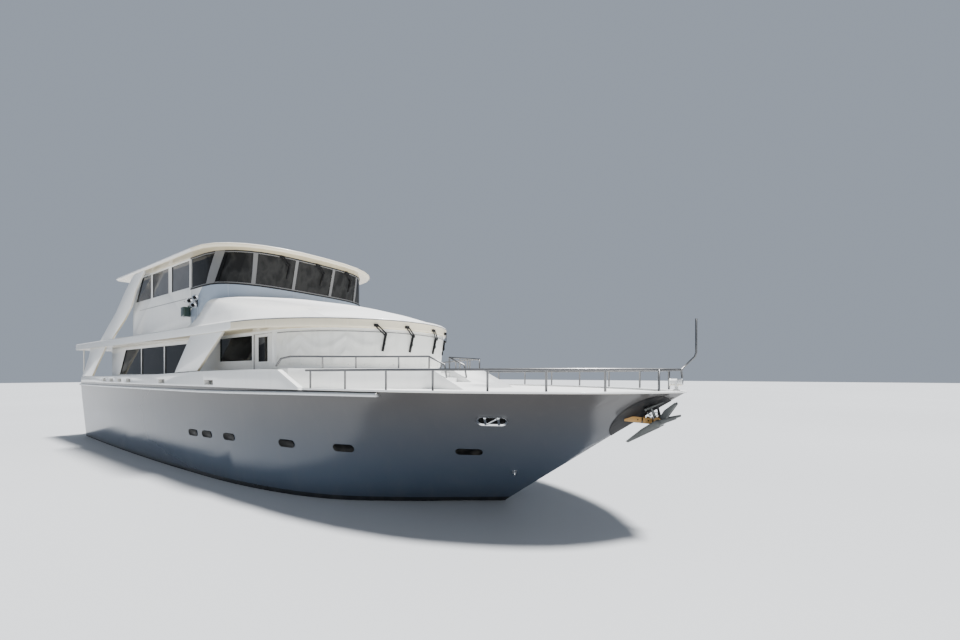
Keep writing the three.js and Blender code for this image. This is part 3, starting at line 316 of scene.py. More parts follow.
def screen_material():
    """Crumpled dark mesh screens in the pilothouse's front windows."""
    screen = Surface("mesh_screen", {"Specular IOR Level": 0.2})
    creases = screen.noise(1.9, 4.0, stretch=(1.0, 1.3, 0.8))
    ridge = screen.ramp(screen.maths("ABSOLUTE", screen.minus(creases, 0.5)), 0.0, 0.12, 1.0, 0.0)
    threads = screen.times(screen.group("weave", Thread=420.0)["Mask"], 0.3)
    # crease ridges are lighter: a painted highlight where the folds catch the light
    colour = screen.mix(ridge, (0.007, 0.007, 0.007), (0.024, 0.024, 0.023))
    return screen.finished(screen.mix(threads, colour, (0.012, 0.012, 0.012)),
                           screen.ramp(creases, 0.3, 0.7, 0.28, 0.5), ridge, 0.01, 0.5)


def metal_material(name, colour, roughness, brushed=0.1):
    """Bare metal with fine brushing and faint smears."""
    metal = Surface(name, {"Metallic": 1.0})
    grain = metal.noise(90.0, stretch=(0.2, 1, 1))
    smear = metal.noise(7.0)
    shade = metal.mix(metal.ramp(smear, 0.3, 0.8, 0, 0.4), colour, [part * 0.72 for part in colour])
    rough = metal.ramp(grain, 0.3, 0.7, roughness, roughness + brushed)
    rough = metal.plus(rough, metal.ramp(smear, 0.4, 0.8, 0, 0.12))
    return metal.finished(shade, rough, grain, 0.0001, 0.2)


def teak_material():
    """Laid planks along the platform, with dark caulking between them."""
    teak = Surface("teak")
    lanes = {"Vector": teak.place, "Scale": 2.9}
    caulk = teak.ramp(teak.add("TexWave", lanes, bands_direction="X", wave_profile="SAW")["Fac"], 0.93, 0.96)
    grain = teak.noise(18.0, 5.0, stretch=(4.0, 0.25, 1.0))
    wood = teak.mix(teak.ramp(grain, 0.3, 0.7), (0.36, 0.24, 0.13), (0.52, 0.39, 0.25))
    planks = teak.mix(caulk, wood, (0.02, 0.02, 0.02))
    colour = teak.mix(teak.group("facing_and_height")["Upward"], colours().house, planks)
    out = teak.weathered(colour, 0.5, 0.15, 0.4)
    return teak.finished(out["Colour"], out["Roughness"], teak.minus(grain, caulk), 0.0012)


def cover_material():
    """Woven white cover cloth."""
    cloth = Surface("cover_cloth", {"Sheen Weight": 0.25, "Sheen Roughness": 0.5})
    weave = cloth.group("weave", Thread=260.0)["Mask"]
    out = cloth.weathered(colours().cover, 0.82, 0.25, 0.2)
    colour = cloth.mix(cloth.times(weave, 0.18), out["Colour"], (0.55, 0.54, 0.50))
    return cloth.finished(colour, out["Roughness"], weave, 0.0004, 0.5)


def build_materials():
    """Every material, by the short name of its finish."""
    return {
        "hull": hull_material(),
        "white": topcoat_material(),
        "glass": glass_material("tinted_glass", (0.006, 0.006, 0.006), (0.020, 0.020, 0.019), 0.12),
        "pale_glass": glass_material("pale_glass", (0.10, 0.10, 0.105), (0.17, 0.17, 0.175), 0.35),
        "screen": screen_material(),
        "steel": metal_material("stainless_steel", (0.17, 0.17, 0.172), 0.28),
        "chrome": metal_material("polished_chrome", (0.80, 0.81, 0.82), 0.05, 0.03),
        "galvanised": metal_material("galvanised_steel", (0.14, 0.145, 0.14), 0.34, 0.2),
        "moulding": metal_material("rub_rail_steel", (0.66, 0.67, 0.67), 0.30, 0.04),
        "ochre": painted("ochre_paint", (0.50, 0.27, 0.07), 0.45, streaks=0.5),
        "bronze": metal_material("propeller_bronze", (0.42, 0.27, 0.12), 0.28),
        "teak": teak_material(),
        "cloth": cover_material(),
        "black": painted("satin_black", (0.009, 0.009, 0.010), 0.46, 0, 0.3, 0.05, specular=0.15),
        "grey": painted("window_frames", (0.155, 0.155, 0.155), 0.35, 0.2, 0.3, 0.2),
        "helm_grey": painted("helm_grey", (0.33, 0.39, 0.47), 0.25, 0.4, 0.1, 0.1),
        "rubber": painted("rubber_seal", (0.003, 0.003, 0.003), 0.40, 0, 0.3, 0.02, specular=0.10),
        # cream edges: painted warm light bounced up onto the decks' fronts, not a paint of their own
        "bounce_cream": painted("cream_edges", (0.76, 0.685, 0.52), 0.25, 0.3, 0.1, 0.1),
        "bottom": painted("bottom_paint", colours().bottom, 0.75, streaks=0.4),
        "red": painted("port_light", (0.35, 0.010, 0.012), 0.18, 0.6, 0.1, 0.1),
        "green": painted("starboard_light", (0.003, 0.030, 0.019), 0.18, 0.6, 0.1, 0.1),
    }


MATERIALS = {}


def finish(piece, material, body="hull", replaces=(), name=None):
    """Gives a piece its name, material, body and slot, and the nodes that it stands for."""
    if name:
        piece.name = piece.data.name = name
    piece.data.materials.clear()
    piece.data.materials.append(MATERIALS[material])
    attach(piece, body)
    if replaces:
        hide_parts(*replaces)
    return piece


# Modelling helpers

def activate(*pieces):
    """Selects these pieces and nothing else; the first one is active."""
    bpy.ops.object.select_all(action="DESELECT")
    for piece in pieces:
        piece.select_set(True)
    bpy.context.view_layer.objects.active = pieces[0]


def settle(piece, name):
    """Applies a piece's placing, so that its object sits at the origin."""
    activate(piece)
    bpy.ops.object.transform_apply(location=True, rotation=True, scale=True)
    piece.name = piece.data.name = name
    return piece


def select_where(piece, kind, test):
    """Selects the faces, edges or vertices that pass a test; returns their count."""
    mesh = bmesh.from_edit_mesh(piece.data)
    parts = {"VERT": mesh.verts, "EDGE": mesh.edges, "FACE": mesh.faces}[kind]
    chosen = [part for part in parts if test(part)]
    for part in chosen:
        part.select_set(True)
    mesh.select_flush_mode()
    bmesh.update_edit_mesh(piece.data)
    return len(chosen)


@contextmanager
def editing(piece, kind="FACE", test=None):
    """Edit mode, with all parts or those that pass a test selected; gives the count of those."""
    activate(piece)
    bpy.ops.object.mode_set(mode="EDIT")
    bpy.ops.mesh.select_mode(type=kind)
    bpy.ops.mesh.select_all(action="DESELECT" if test else "SELECT")
    yield select_where(piece, kind, test) if test else None
    bpy.ops.object.mode_set(mode="OBJECT")


def on_faces(piece, test, least=0.0):
    """Edit mode on the faces whose centre and normal pass a test and that aren't smaller than least."""
    return editing(piece, "FACE", lambda face: test(face.calc_center_median(), face.normal)
                   and face.calc_area() >= least)


def modified(piece, kind, **settings):
    """A modifier put on a piece and applied."""
    activate(piece)
    modifier = piece.modifiers.new(kind, kind)
    for setting, value in settings.items():
        setattr(modifier, setting, value)
    bpy.ops.object.modifier_apply(modifier=modifier.name)
    return piece


def smooth(piece, angle):
    """Smooth shading across edges that are shallower than an angle in degrees."""
    activate(piece)
    bpy.ops.object.shade_smooth_by_angle(angle=math.radians(angle))
    return piece


def rounded(piece, width, segments=2, angle=30):
    """Bevelled edges and smooth shading across shallow ones; faces of zero area are dissolved."""
    modified(piece, "BEVEL", width=width, segments=segments, limit_method="ANGLE",
             angle_limit=math.radians(angle))
    with editing(piece):
        bpy.ops.mesh.dissolve_degenerate(threshold=TINY)
    return smooth(piece, angle + SMOOTH_MARGIN)


def new_box(low, high):
    low, high = Vector(low), Vector(high)
    bpy.ops.mesh.primitive_cube_add(size=1, location=(low + high) / 2, scale=high - low)
    return settle(bpy.context.object, "box")


def new_rod(start, end, radius, end_radius=None, sides=16):
    """A cylinder or cone between two points."""
    start, end = Vector(start), Vector(end)
    along = end - start
    bpy.ops.mesh.primitive_cone_add(
        vertices=sides, radius1=radius, radius2=radius if end_radius is None else end_radius,
        depth=along.length, location=(start + end) / 2, rotation=along.to_track_quat("Z", "Y").to_euler())
    return settle(bpy.context.object, "rod")


def new_ring(radius, thickness, steps, place, turn):
    """A torus; steps are its segments round the ring and round its section."""
    bpy.ops.mesh.primitive_torus_add(major_radius=radius, minor_radius=thickness, major_segments=steps[0],
                                     minor_segments=steps[1], location=place, rotation=turn)
    return settle(bpy.context.object, "ring")


def placing(place, across, top, facing):
    """The matrix that takes X, Y and Z to three directions, and the origin to a place."""
    return Matrix.Translation(place) @ Matrix((across, top, facing)).transposed().to_4x4()


def new_bar(start, end, wide, deep, facing):
    """A flat bar between two points, its depth along the direction that it faces."""
    start, end = Vector(start), Vector(end)
    along = (end - start).normalized()
    across = Vector(facing).cross(along).normalized()
    bpy.ops.mesh.primitive_cube_add(size=1)
    bar = bpy.context.object
    bar.matrix_world = (placing((start + end) / 2, across, along.cross(across), along)
                        @ Matrix.Diagonal((wide, deep, (end - start).length, 1)))
    return settle(bar, "bar")


def joined(name, *pieces):
    activate(*pieces)
    bpy.ops.object.join()
    return settle(bpy.context.object, name)


def paint_faces(piece, material, test, least=0.0):
    """Gives the faces that pass a test a material of their own."""
    piece.data.materials.append(MATERIALS[material])
    with on_faces(piece, test, least) as count:
        if count:
            piece.active_material_index = len(piece.data.materials) - 1
            bpy.ops.object.material_slot_assign()


def linked(piece):
    """Puts a new object in the scene."""
    bpy.context.scene.collection.objects.link(piece)
    return piece


def duplicate(piece):
    """A copy of a piece, with its own mesh."""
    copy = linked(piece.copy())
    copy.data = piece.data.copy()
    return copy


def finish_pair(piece, name, material):
    """Finishes a starboard piece and its mirror image to port; returns both."""
    piece.name = piece.data.name = f"{name}_starboard"
    copy = duplicate(piece)
    copy.scale.y = -1
    settle(copy, f"{name}_port")
    with editing(copy):
        bpy.ops.mesh.normals_make_consistent(inside=False)
    return finish(piece, material), finish(copy, material)


def cad_copy(node, name, flat_angle=0.5):
    """A copy of a CAD node with its loose triangles merged and its flat faces whole."""
    piece = linked(bpy.data.objects.new(name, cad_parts[node].data.copy()))
    with editing(piece, "VERT"):
        bpy.ops.mesh.remove_doubles(threshold=TINY)
        if flat_angle:
            bpy.ops.mesh.dissolve_limited(angle_limit=math.radians(flat_angle))
    return piece


def dressed(node, material, edge=None, angle=30, body="hull"):
    """A copy of a CAD node with softened edges, finished and shown in the node's place."""
    piece = cad_copy(node, f"{node}_finish")
    edge = sizes().edge if edge is None else edge
    piece = rounded(piece, edge, angle=angle) if edge else smooth(piece, angle)
    return finish(piece, material, body, [node])


def stretched(piece, factor, pivot, test=None):
    """Scales the vertices that pass a test about a pivot."""
    with editing(piece, "VERT", test):
        bpy.ops.transform.resize(value=factor, center_override=pivot)


def split_at(piece, place, direction=(0, 0, 1), **clear):
    """Cuts a piece's faces along a plane; clear_inner or clear_outer also removes one side."""
    with editing(piece):
        bpy.ops.mesh.bisect(plane_co=place, plane_no=direction, **clear)


def skin_band(node, name, low, high, thickness, is_skin):
    """A strip that follows a wall's outer skin between two heights and stands proud of it."""
    piece = cad_copy(node, name)
    split_at(piece, (0, 0, low), clear_inner=True)
    split_at(piece, (0, 0, high), clear_outer=True)
    with on_faces(piece, lambda c, n: not is_skin(c, n)):
        bpy.ops.mesh.delete(type="FACE")
    return smooth(modified(piece, "SOLIDIFY", thickness=thickness, offset=1.0), 35)


def on_skin(node, start, direction):
    """Where a ray from a point meets a CAD node, and the surface's outward direction there."""
    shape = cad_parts[node]
    corners = [shape.matrix_world @ vertex.co for vertex in shape.data.vertices]
    tree = BVHTree.FromPolygons(corners, [face.vertices for face in shape.data.polygons])
    place, normal, _, _ = tree.ray_cast(Vector(start), Vector(direction))
    if place is None:
        raise RuntimeError(f"nothing of {node} lies along {direction} from {start}")
    return place, normal if normal.dot(Vector(direction)) < 0 else -normal


def stand_on(piece, place, normal):
    """Turns a piece modelled at the origin, facing +Z with its top towards +Y, onto a surface."""
    normal = Vector(normal).normalized()
    across = Vector((0, 0, 1)).cross(normal).normalized()
    piece.matrix_world = placing(place, across, normal.cross(across), normal)
    return settle(piece, piece.name)


def helm_skin_test():
    """A test for faces on the outer skin of the pilothouse front."""
    low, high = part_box("pilothouse_front")

    def is_skin(centre, normal):
        outward = Vector((max(centre.x - low.x, 0.0) + 0.3, centre.y, 0)).normalized()
        is_reveal = abs(normal.y) > 0.999 and abs(centre.y) < high.y - REVEALS_IN
        return abs(normal.z) < 0.6 and normal.dot(outward) > 0.3 and not is_reveal and normal.x > -0.9
    return is_skin


# Pieces

class YachtOperator(bpy.types.Operator):
    """Base of the yacht's operators."""
    bl_options = {"REGISTER", "UNDO"}


class BuildHull(YachtOperator):
    """Hull, smooth and painted, with white decks and inner bulwarks"""
    bl_idname = "yacht.build_hull"
    bl_label = "Hull"

    CROSS_HALF = 2.9        # faces across the hull are white within this half width

    def execute(self, context):
        deck_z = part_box("house_bulkhead")[0].z

        def is_white(centre, normal):
            inboard = normal.y * centre.y < -0.05
            cross = abs(normal.x) > 0.9 and abs(centre.y) < self.CROSS_HALF
            return centre.z > deck_z - 0.01 and (normal.z > 0.9 or inboard or cross)
        paint_faces(dressed("hull", "hull", edge=0, angle=32), "white", is_white)
        return {"FINISHED"}


class DressHouses(YachtOperator):
    """Painted houses, decks, wings and doors, with rubber seals round the windows"""
    bl_idname = "yacht.dress_houses"
    bl_label = "Houses and decks"

    # walls, by the heights between which their windows lie
    WALLS = {(2.95, 4.10): both("house_side"), (2.95, 4.0): ["house_bulkhead"], (3.3, 4.05): ["house_front"],
             (5.82, 6.75): ["pilothouse_front", *both("pilothouse_side")]}
    PLAIN = ("cap_rail", "transom_bulwark", "foredeck_platform", "pilothouse_bulkhead", "radar_mast",
             *both("bulwark", "forward_wing", "aft_wing", "upper_wing"))
    MOVING = (*both("transom_gate"), "upper_door", "radar_scanner")
    # a point at the upper edge of the blue-grey below the pilothouse windows, and that edge's normal
    PAINT_AFT, PAINT_SLOPE = Vector((0.376, 0, 5.741)), Vector((0.63, 0, -0.777))
    FRAMES_LOW = 5.80       # lower edge of the grey window frames
    FOOT_AFT, FOOT_RADIUS = 3.2, 0.065      # the boat deck's foot is rounded forward of this
    SKINS = 0.05, 0.02      # how far a wall's inner and outer skin reach into its box from aft and ahead
    SIDE_WALL = 0.12        # a front's outermost faces, this far inside its full width, run fore and aft
    LINE = 0.022            # height of the dark line over a cream edge of painted bounce light

    def execute(self, context):
        for edges, nodes in self.WALLS.items():
            for node in nodes:
                wall = dressed(node, "white", edge=0.006)
                if node == "pilothouse_front":
                    self.paint_front(wall)
                paint_faces(wall, "rubber", self.reveal_test(node, *edges))
        for node in self.PLAIN:
            dressed(node, "white")
        self.ledge("boat_deck", nose=3.25, top=4.40)
        self.ledge("pilothouse_roof", nose=-1.0, top=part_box("pilothouse_roof")[0].z + 0.26)
        for node in self.MOVING:
            dressed(node, "white", edge=0.008, body=node)
        return {"FINISHED"}

    def ledge(self, node, nose, top):
        """A deck with rounded edges; forward of nose, its edge is cream, a painted warm light bounced up from
        below, up to a dark line below top.
        """
        piece = cad_copy(node, f"{node}_finish")
        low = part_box(node)[0].z

        def is_foot(edge):
            outward = Vector((0.7, edge.verts[0].co.y, 0))
            low_down = all(abs(end.co.z - low) < 0.001 and end.co.x > self.FOOT_AFT for end in edge.verts)
            return low_down and any(abs(face.normal.z) < 0.3 and face.normal.dot(outward) > 0
                                    for face in edge.link_faces)

        def is_edge(centre, normal):
            outward = Vector((0.35, math.copysign(1, centre.y), 0))
            return centre.x > nose and abs(normal.z) < 0.75 and normal.dot(outward) > 0
        if node == "boat_deck":
            with editing(piece, "EDGE", is_foot):
                bpy.ops.mesh.bevel(offset=self.FOOT_RADIUS, segments=3, affect="EDGES")
        finish(rounded(piece, 0.02, 3, 28), "white", replaces=[node])
        foot = top - self.LINE
        split_at(piece, (0, 0, top))
        split_at(piece, (0, 0, foot))
        # the cream is painted bounce light on the edge's faces
        paint_faces(piece, "bounce_cream", lambda c, n: c.z < foot and is_edge(c, n))
        paint_faces(piece, "grey", lambda c, n: foot < c.z < top and is_edge(c, n))

    def paint_front(self, wall):
        """Blue-grey below the pilothouse windows, up to a slanted edge, and darker frames between them."""
        is_skin = helm_skin_test()
        split_at(wall, self.PAINT_AFT, self.PAINT_SLOPE)
        split_at(wall, (0, 0, self.FRAMES_LOW))
        paint_faces(wall, "helm_grey", lambda c, n: c.z < self.FRAMES_LOW and is_skin(c, n)
                    and (c - self.PAINT_AFT).dot(self.PAINT_SLOPE) > 0)
        paint_faces(wall, "grey", lambda c, n: c.z > self.FRAMES_LOW and is_skin(c, n))

    def reveal_test(self, node, low, high):
        """A test for the faces round a window, between the inner and outer skins of a wall."""
        box_low, box_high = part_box(node)
        aft, forward = box_low.x + self.SKINS[0], box_high.x - self.SKINS[1]
        across = "bulkhead" in node or node.endswith("_front")

        def is_reveal(centre, normal):
            if not (low < centre.z < high and aft < centre.x < forward):
                return False
            if abs(normal.z) > 0.95:
                return True
            if not across:
                return abs(normal.x) > 0.3
            if abs(centre.y) > box_high.y - self.SIDE_WALL:
                return abs(normal.x) > 0.9
            return abs(normal.y) > 0.999 and abs(centre.y) < box_high.y - REVEALS_IN
        return is_reveal


class FitGlass(YachtOperator):
    """Tinted panes, moved out to lie just behind the face of each wall"""
    bl_idname = "yacht.fit_glass"
    bl_label = "Glass"

    SCREENS_AFT = 1.04      # mesh screens hang forward of this
    PALE_AFT = 0.02         # the pilothouse's side panes are pale from this far aft of its corner

    def execute(self, context):
        back = sizes().glass_set_back
        for name, side in SIDES.items():
            face = 1 if side > 0 else 0
            outer, inner = (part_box(f"house_{part}_{name}")[face].y for part in ("side", "glass"))
            self.move_pane(name, (0, outer - side * back - inner, 0))
        self.move_pane("aft", (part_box("house_bulkhead")[0].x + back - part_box("house_glass_aft")[0].x, 0, 0))
        self.fit_nose("house_front", "house_glass_front", "house_panes_front", back)
        pane = self.fit_nose("pilothouse_front", "pilothouse_glass", "pilothouse_panes", back)
        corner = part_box("pilothouse_front")[0].x - self.PALE_AFT
        for cut in (corner, self.SCREENS_AFT):
            split_at(pane, (cut, 0, 0), (1, 0, 0))
        paint_faces(pane, "pale_glass", lambda c, n: c.x < corner)
        paint_faces(pane, "screen", lambda c, n: c.x > self.SCREENS_AFT)
        return {"FINISHED"}

    @staticmethod
    def move_pane(part, shift):
        """Shifts a flat sheet of the main house's glass."""
        pane = cad_copy(f"house_glass_{part}", f"house_panes_{part}")
        pane.location = shift
        finish(settle(pane, pane.name), "glass", replaces=[f"house_glass_{part}"])

    @staticmethod
    def fit_nose(wall, glass, name, back):
        """Widens a curved band of glass from inside its wall to just behind the wall's face."""
        corner, nose = (box.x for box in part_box(wall))
        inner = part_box(glass)[1]
        pane = cad_copy(glass, name, flat_angle=0)
        stretched(pane, (1, (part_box(wall)[1].y - back) / inner.y, 1), (0, 0, 0))
        stretched(pane, ((nose - corner - back) / (inner.x - corner), 1, 1), (corner, 0, 0),
                  lambda vertex: vertex.co.x > corner)
        return finish(smooth(pane, 25), "glass", replaces=[glass])


class FitTrim(YachtOperator):
    """Black bands and corner frames of the pilothouse windows, and mouldings along its sides"""
    bl_idname = "yacht.fit_trim"
    bl_label = "Trim"

    # the pilothouse nose: height, corner and tip of its plan at two levels
    LEVELS = ((5.77, 0.35, 2.00), (6.80, -0.40, 2.30))
    POWER = 3.2             # of the superellipse that the plan follows
    # name, material, stand-off, thickness, and height, aft edge and forward edge below and above
    PATCHES = (("corner_glass", "glass", 0.001, 0.003, (5.835, 0.60, 1.22), (6.735, 0.84, 1.43)),
               ("corner_frame", "grey", 0.005, 0.006, (5.80, 0.66, 1.07), (6.79, 1.03, 1.37)))
    MOULDING = (-5.16, -0.79, 5.488, 5.508)     # aft and forward end, lower and upper edge
    SILL = (5.755, 5.80)    # lower and upper edge of the band under the windows
    HEAD = (0.035, 0.002)   # those of the band over them, below the top of the wall

    def execute(self, context):
        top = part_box("pilothouse_front")[1].z
        for name, low, high in (("sill", *self.SILL), ("head", top - self.HEAD[0], top - self.HEAD[1])):
            band = skin_band("pilothouse_front", f"helm_{name}_band", low, high, 0.008, helm_skin_test())
            finish(band, "black")
        for name, material, *form in self.PATCHES:
            finish_pair(self.patch(*form), name, material)
        aft, forward, low, high = self.MOULDING
        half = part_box("pilothouse_side_starboard")[0].y
        strip = new_box((aft, half - 0.006, low), (forward, half + 0.001, high))
        finish_pair(rounded(strip, 0.003), "helm_moulding", "grey")
        return {"FINISHED"}

    def skin_y(self, x, z):
        """Starboard face of the pilothouse nose."""
        (z_low, *low), (z_high, *high) = self.LEVELS
        share = (z - z_low) / (z_high - z_low)
        corner, tip = (a + (b - a) * share for a, b in zip(low, high))
        along = max(x - corner, 0.0) / (tip - corner)
        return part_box("pilothouse_front")[0].y * (1 - along ** self.POWER) ** (1 / self.POWER)

    def patch(self, off, thickness, low, high):
        """A thin plate that follows the nose between two heights, with slanted ends."""
        bpy.ops.mesh.primitive_grid_add(x_subdivisions=8, y_subdivisions=6, size=1)
        plate = settle(bpy.context.object, "patch")
        for vertex in plate.data.vertices:
            across, up = vertex.co.x + 0.5, vertex.co.y + 0.5
            z, aft, forward = (a + (b - a) * up for a, b in zip(low, high))
            x = aft + (forward - aft) * across
            vertex.co = (x, self.skin_y(x, z) - off, z)
        return rounded(modified(plate, "SOLIDIFY", thickness=thickness, offset=1.0), 0.001, 1)


class FitDoors(YachtOperator):
    """Side doors with lights, the glazed sliding door, the pilothouse door's pane, and handles"""
    bl_idname = "yacht.fit_doors"
    bl_label = "Doors"

    LIGHT = (3.3, 4.05)     # between these heights a side door has its glass
    GRIP_OUT = 0.045        # how far levers stand off their doors
    SIDE_LEVER_Z = 3.13
    PULL = (2.9, 3.4)       # ends of the sliding door's pull
    UPPER_PANE = (0.30, 5.42, 6.25)     # half width, foot and head of the frame
    UPPER_LEVER = (-0.36, 5.30)         # where its spindle passes through the door

    def execute(self, context):
        for name, side in SIDES.items():
            self.side_door(f"side_door_{name}", side)
        self.saloon_door()
        self.upper_door()
        return {"FINISHED"}

    def side_door(self, node, side):
        """A door with glass in its upper half, and a lever outside."""
        low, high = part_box(node)
        door = dressed(node, "white", edge=0.004, body=node)
        middle = (abs(low.y) + abs(high.y)) / 2
        paint_faces(door, "glass", lambda c, n: abs(n.y) > 0.9 and self.LIGHT[0] < c.z < self.LIGHT[1]
                    and abs(abs(c.y) - middle) < 0.012)
        outer = side * max(abs(low.y), abs(high.y))
        x, grip, z = low.x, outer + side * self.GRIP_OUT, self.SIDE_LEVER_Z
        lever = joined(f"{node}_handle",
                       new_rod((x + 0.07, outer - side * 0.005, z), (x + 0.07, grip, z), 0.013),
                       new_rod((x + 0.06, grip, z), (x + 0.20, grip, z), 0.011, 0.008))
        finish(rounded(lever, 0.003), "chrome", node)

    def saloon_door(self):
        """A sheet of glass sunk in each face, and an upright pull."""
        low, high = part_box("saloon_door")
        door = dressed("saloon_door", "white", edge=0.004, body="saloon_door")
        door.data.materials.append(MATERIALS["glass"])
        with on_faces(door, lambda c, n: abs(n.x) > 0.99 and abs(c.y) < 0.1) as count:
            if not count:
                raise RuntimeError("the saloon door has no broad face")
            bpy.ops.mesh.inset(thickness=0.085, depth=-0.006, use_individual=True)
            door.active_material_index = 1
            bpy.ops.object.material_slot_assign()
        grip, y = low.x - 0.035, high.y - 0.045
        pull = new_rod((grip, y, self.PULL[0]), (grip, y, self.PULL[1]), 0.012)
        posts = [new_rod((low.x + 0.004, y, z), (grip, y, z), 0.008)
                 for z in (self.PULL[0] + 0.05, self.PULL[1] - 0.05)]
        finish(rounded(joined("saloon_door_pull", pull, *posts), 0.003), "chrome", "saloon_door")

    def upper_door(self):
        """A framed pane in the upper half of the pilothouse door, and a lever on each face."""
        low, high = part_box("upper_door")
        half, foot, head = self.UPPER_PANE
        wide = 0.03
        pane = new_box((low.x - 0.003, wide - half, foot + wide),
                       (high.x + 0.003, half - wide, head - wide))
        finish(rounded(pane, 0.002), "glass", "upper_door", name="upper_door_pane")
        aft, forward = low.x - 0.009, high.x + 0.009
        bars = [new_box((aft, -half, z), (forward, half, z + wide)) for z in (foot, head - wide)]
        bars += [new_box((aft, y, foot), (forward, y + wide, head)) for y in (-half, half - wide)]
        finish(rounded(joined("upper_door_frame", *bars), 0.003), "grey", "upper_door")
        y, z = self.UPPER_LEVER
        levers = []
        for face, out in ((low.x, -1), (high.x, 1)):
            grip = face + out * self.GRIP_OUT
            levers += [new_rod((face - out * 0.004, y, z), (grip, y, z), 0.012),
                       new_rod((grip, y - 0.01, z), (grip, y + 0.12, z), 0.010, 0.008)]
        finish(rounded(joined("upper_door_levers", *levers), 0.002), "chrome", "upper_door")


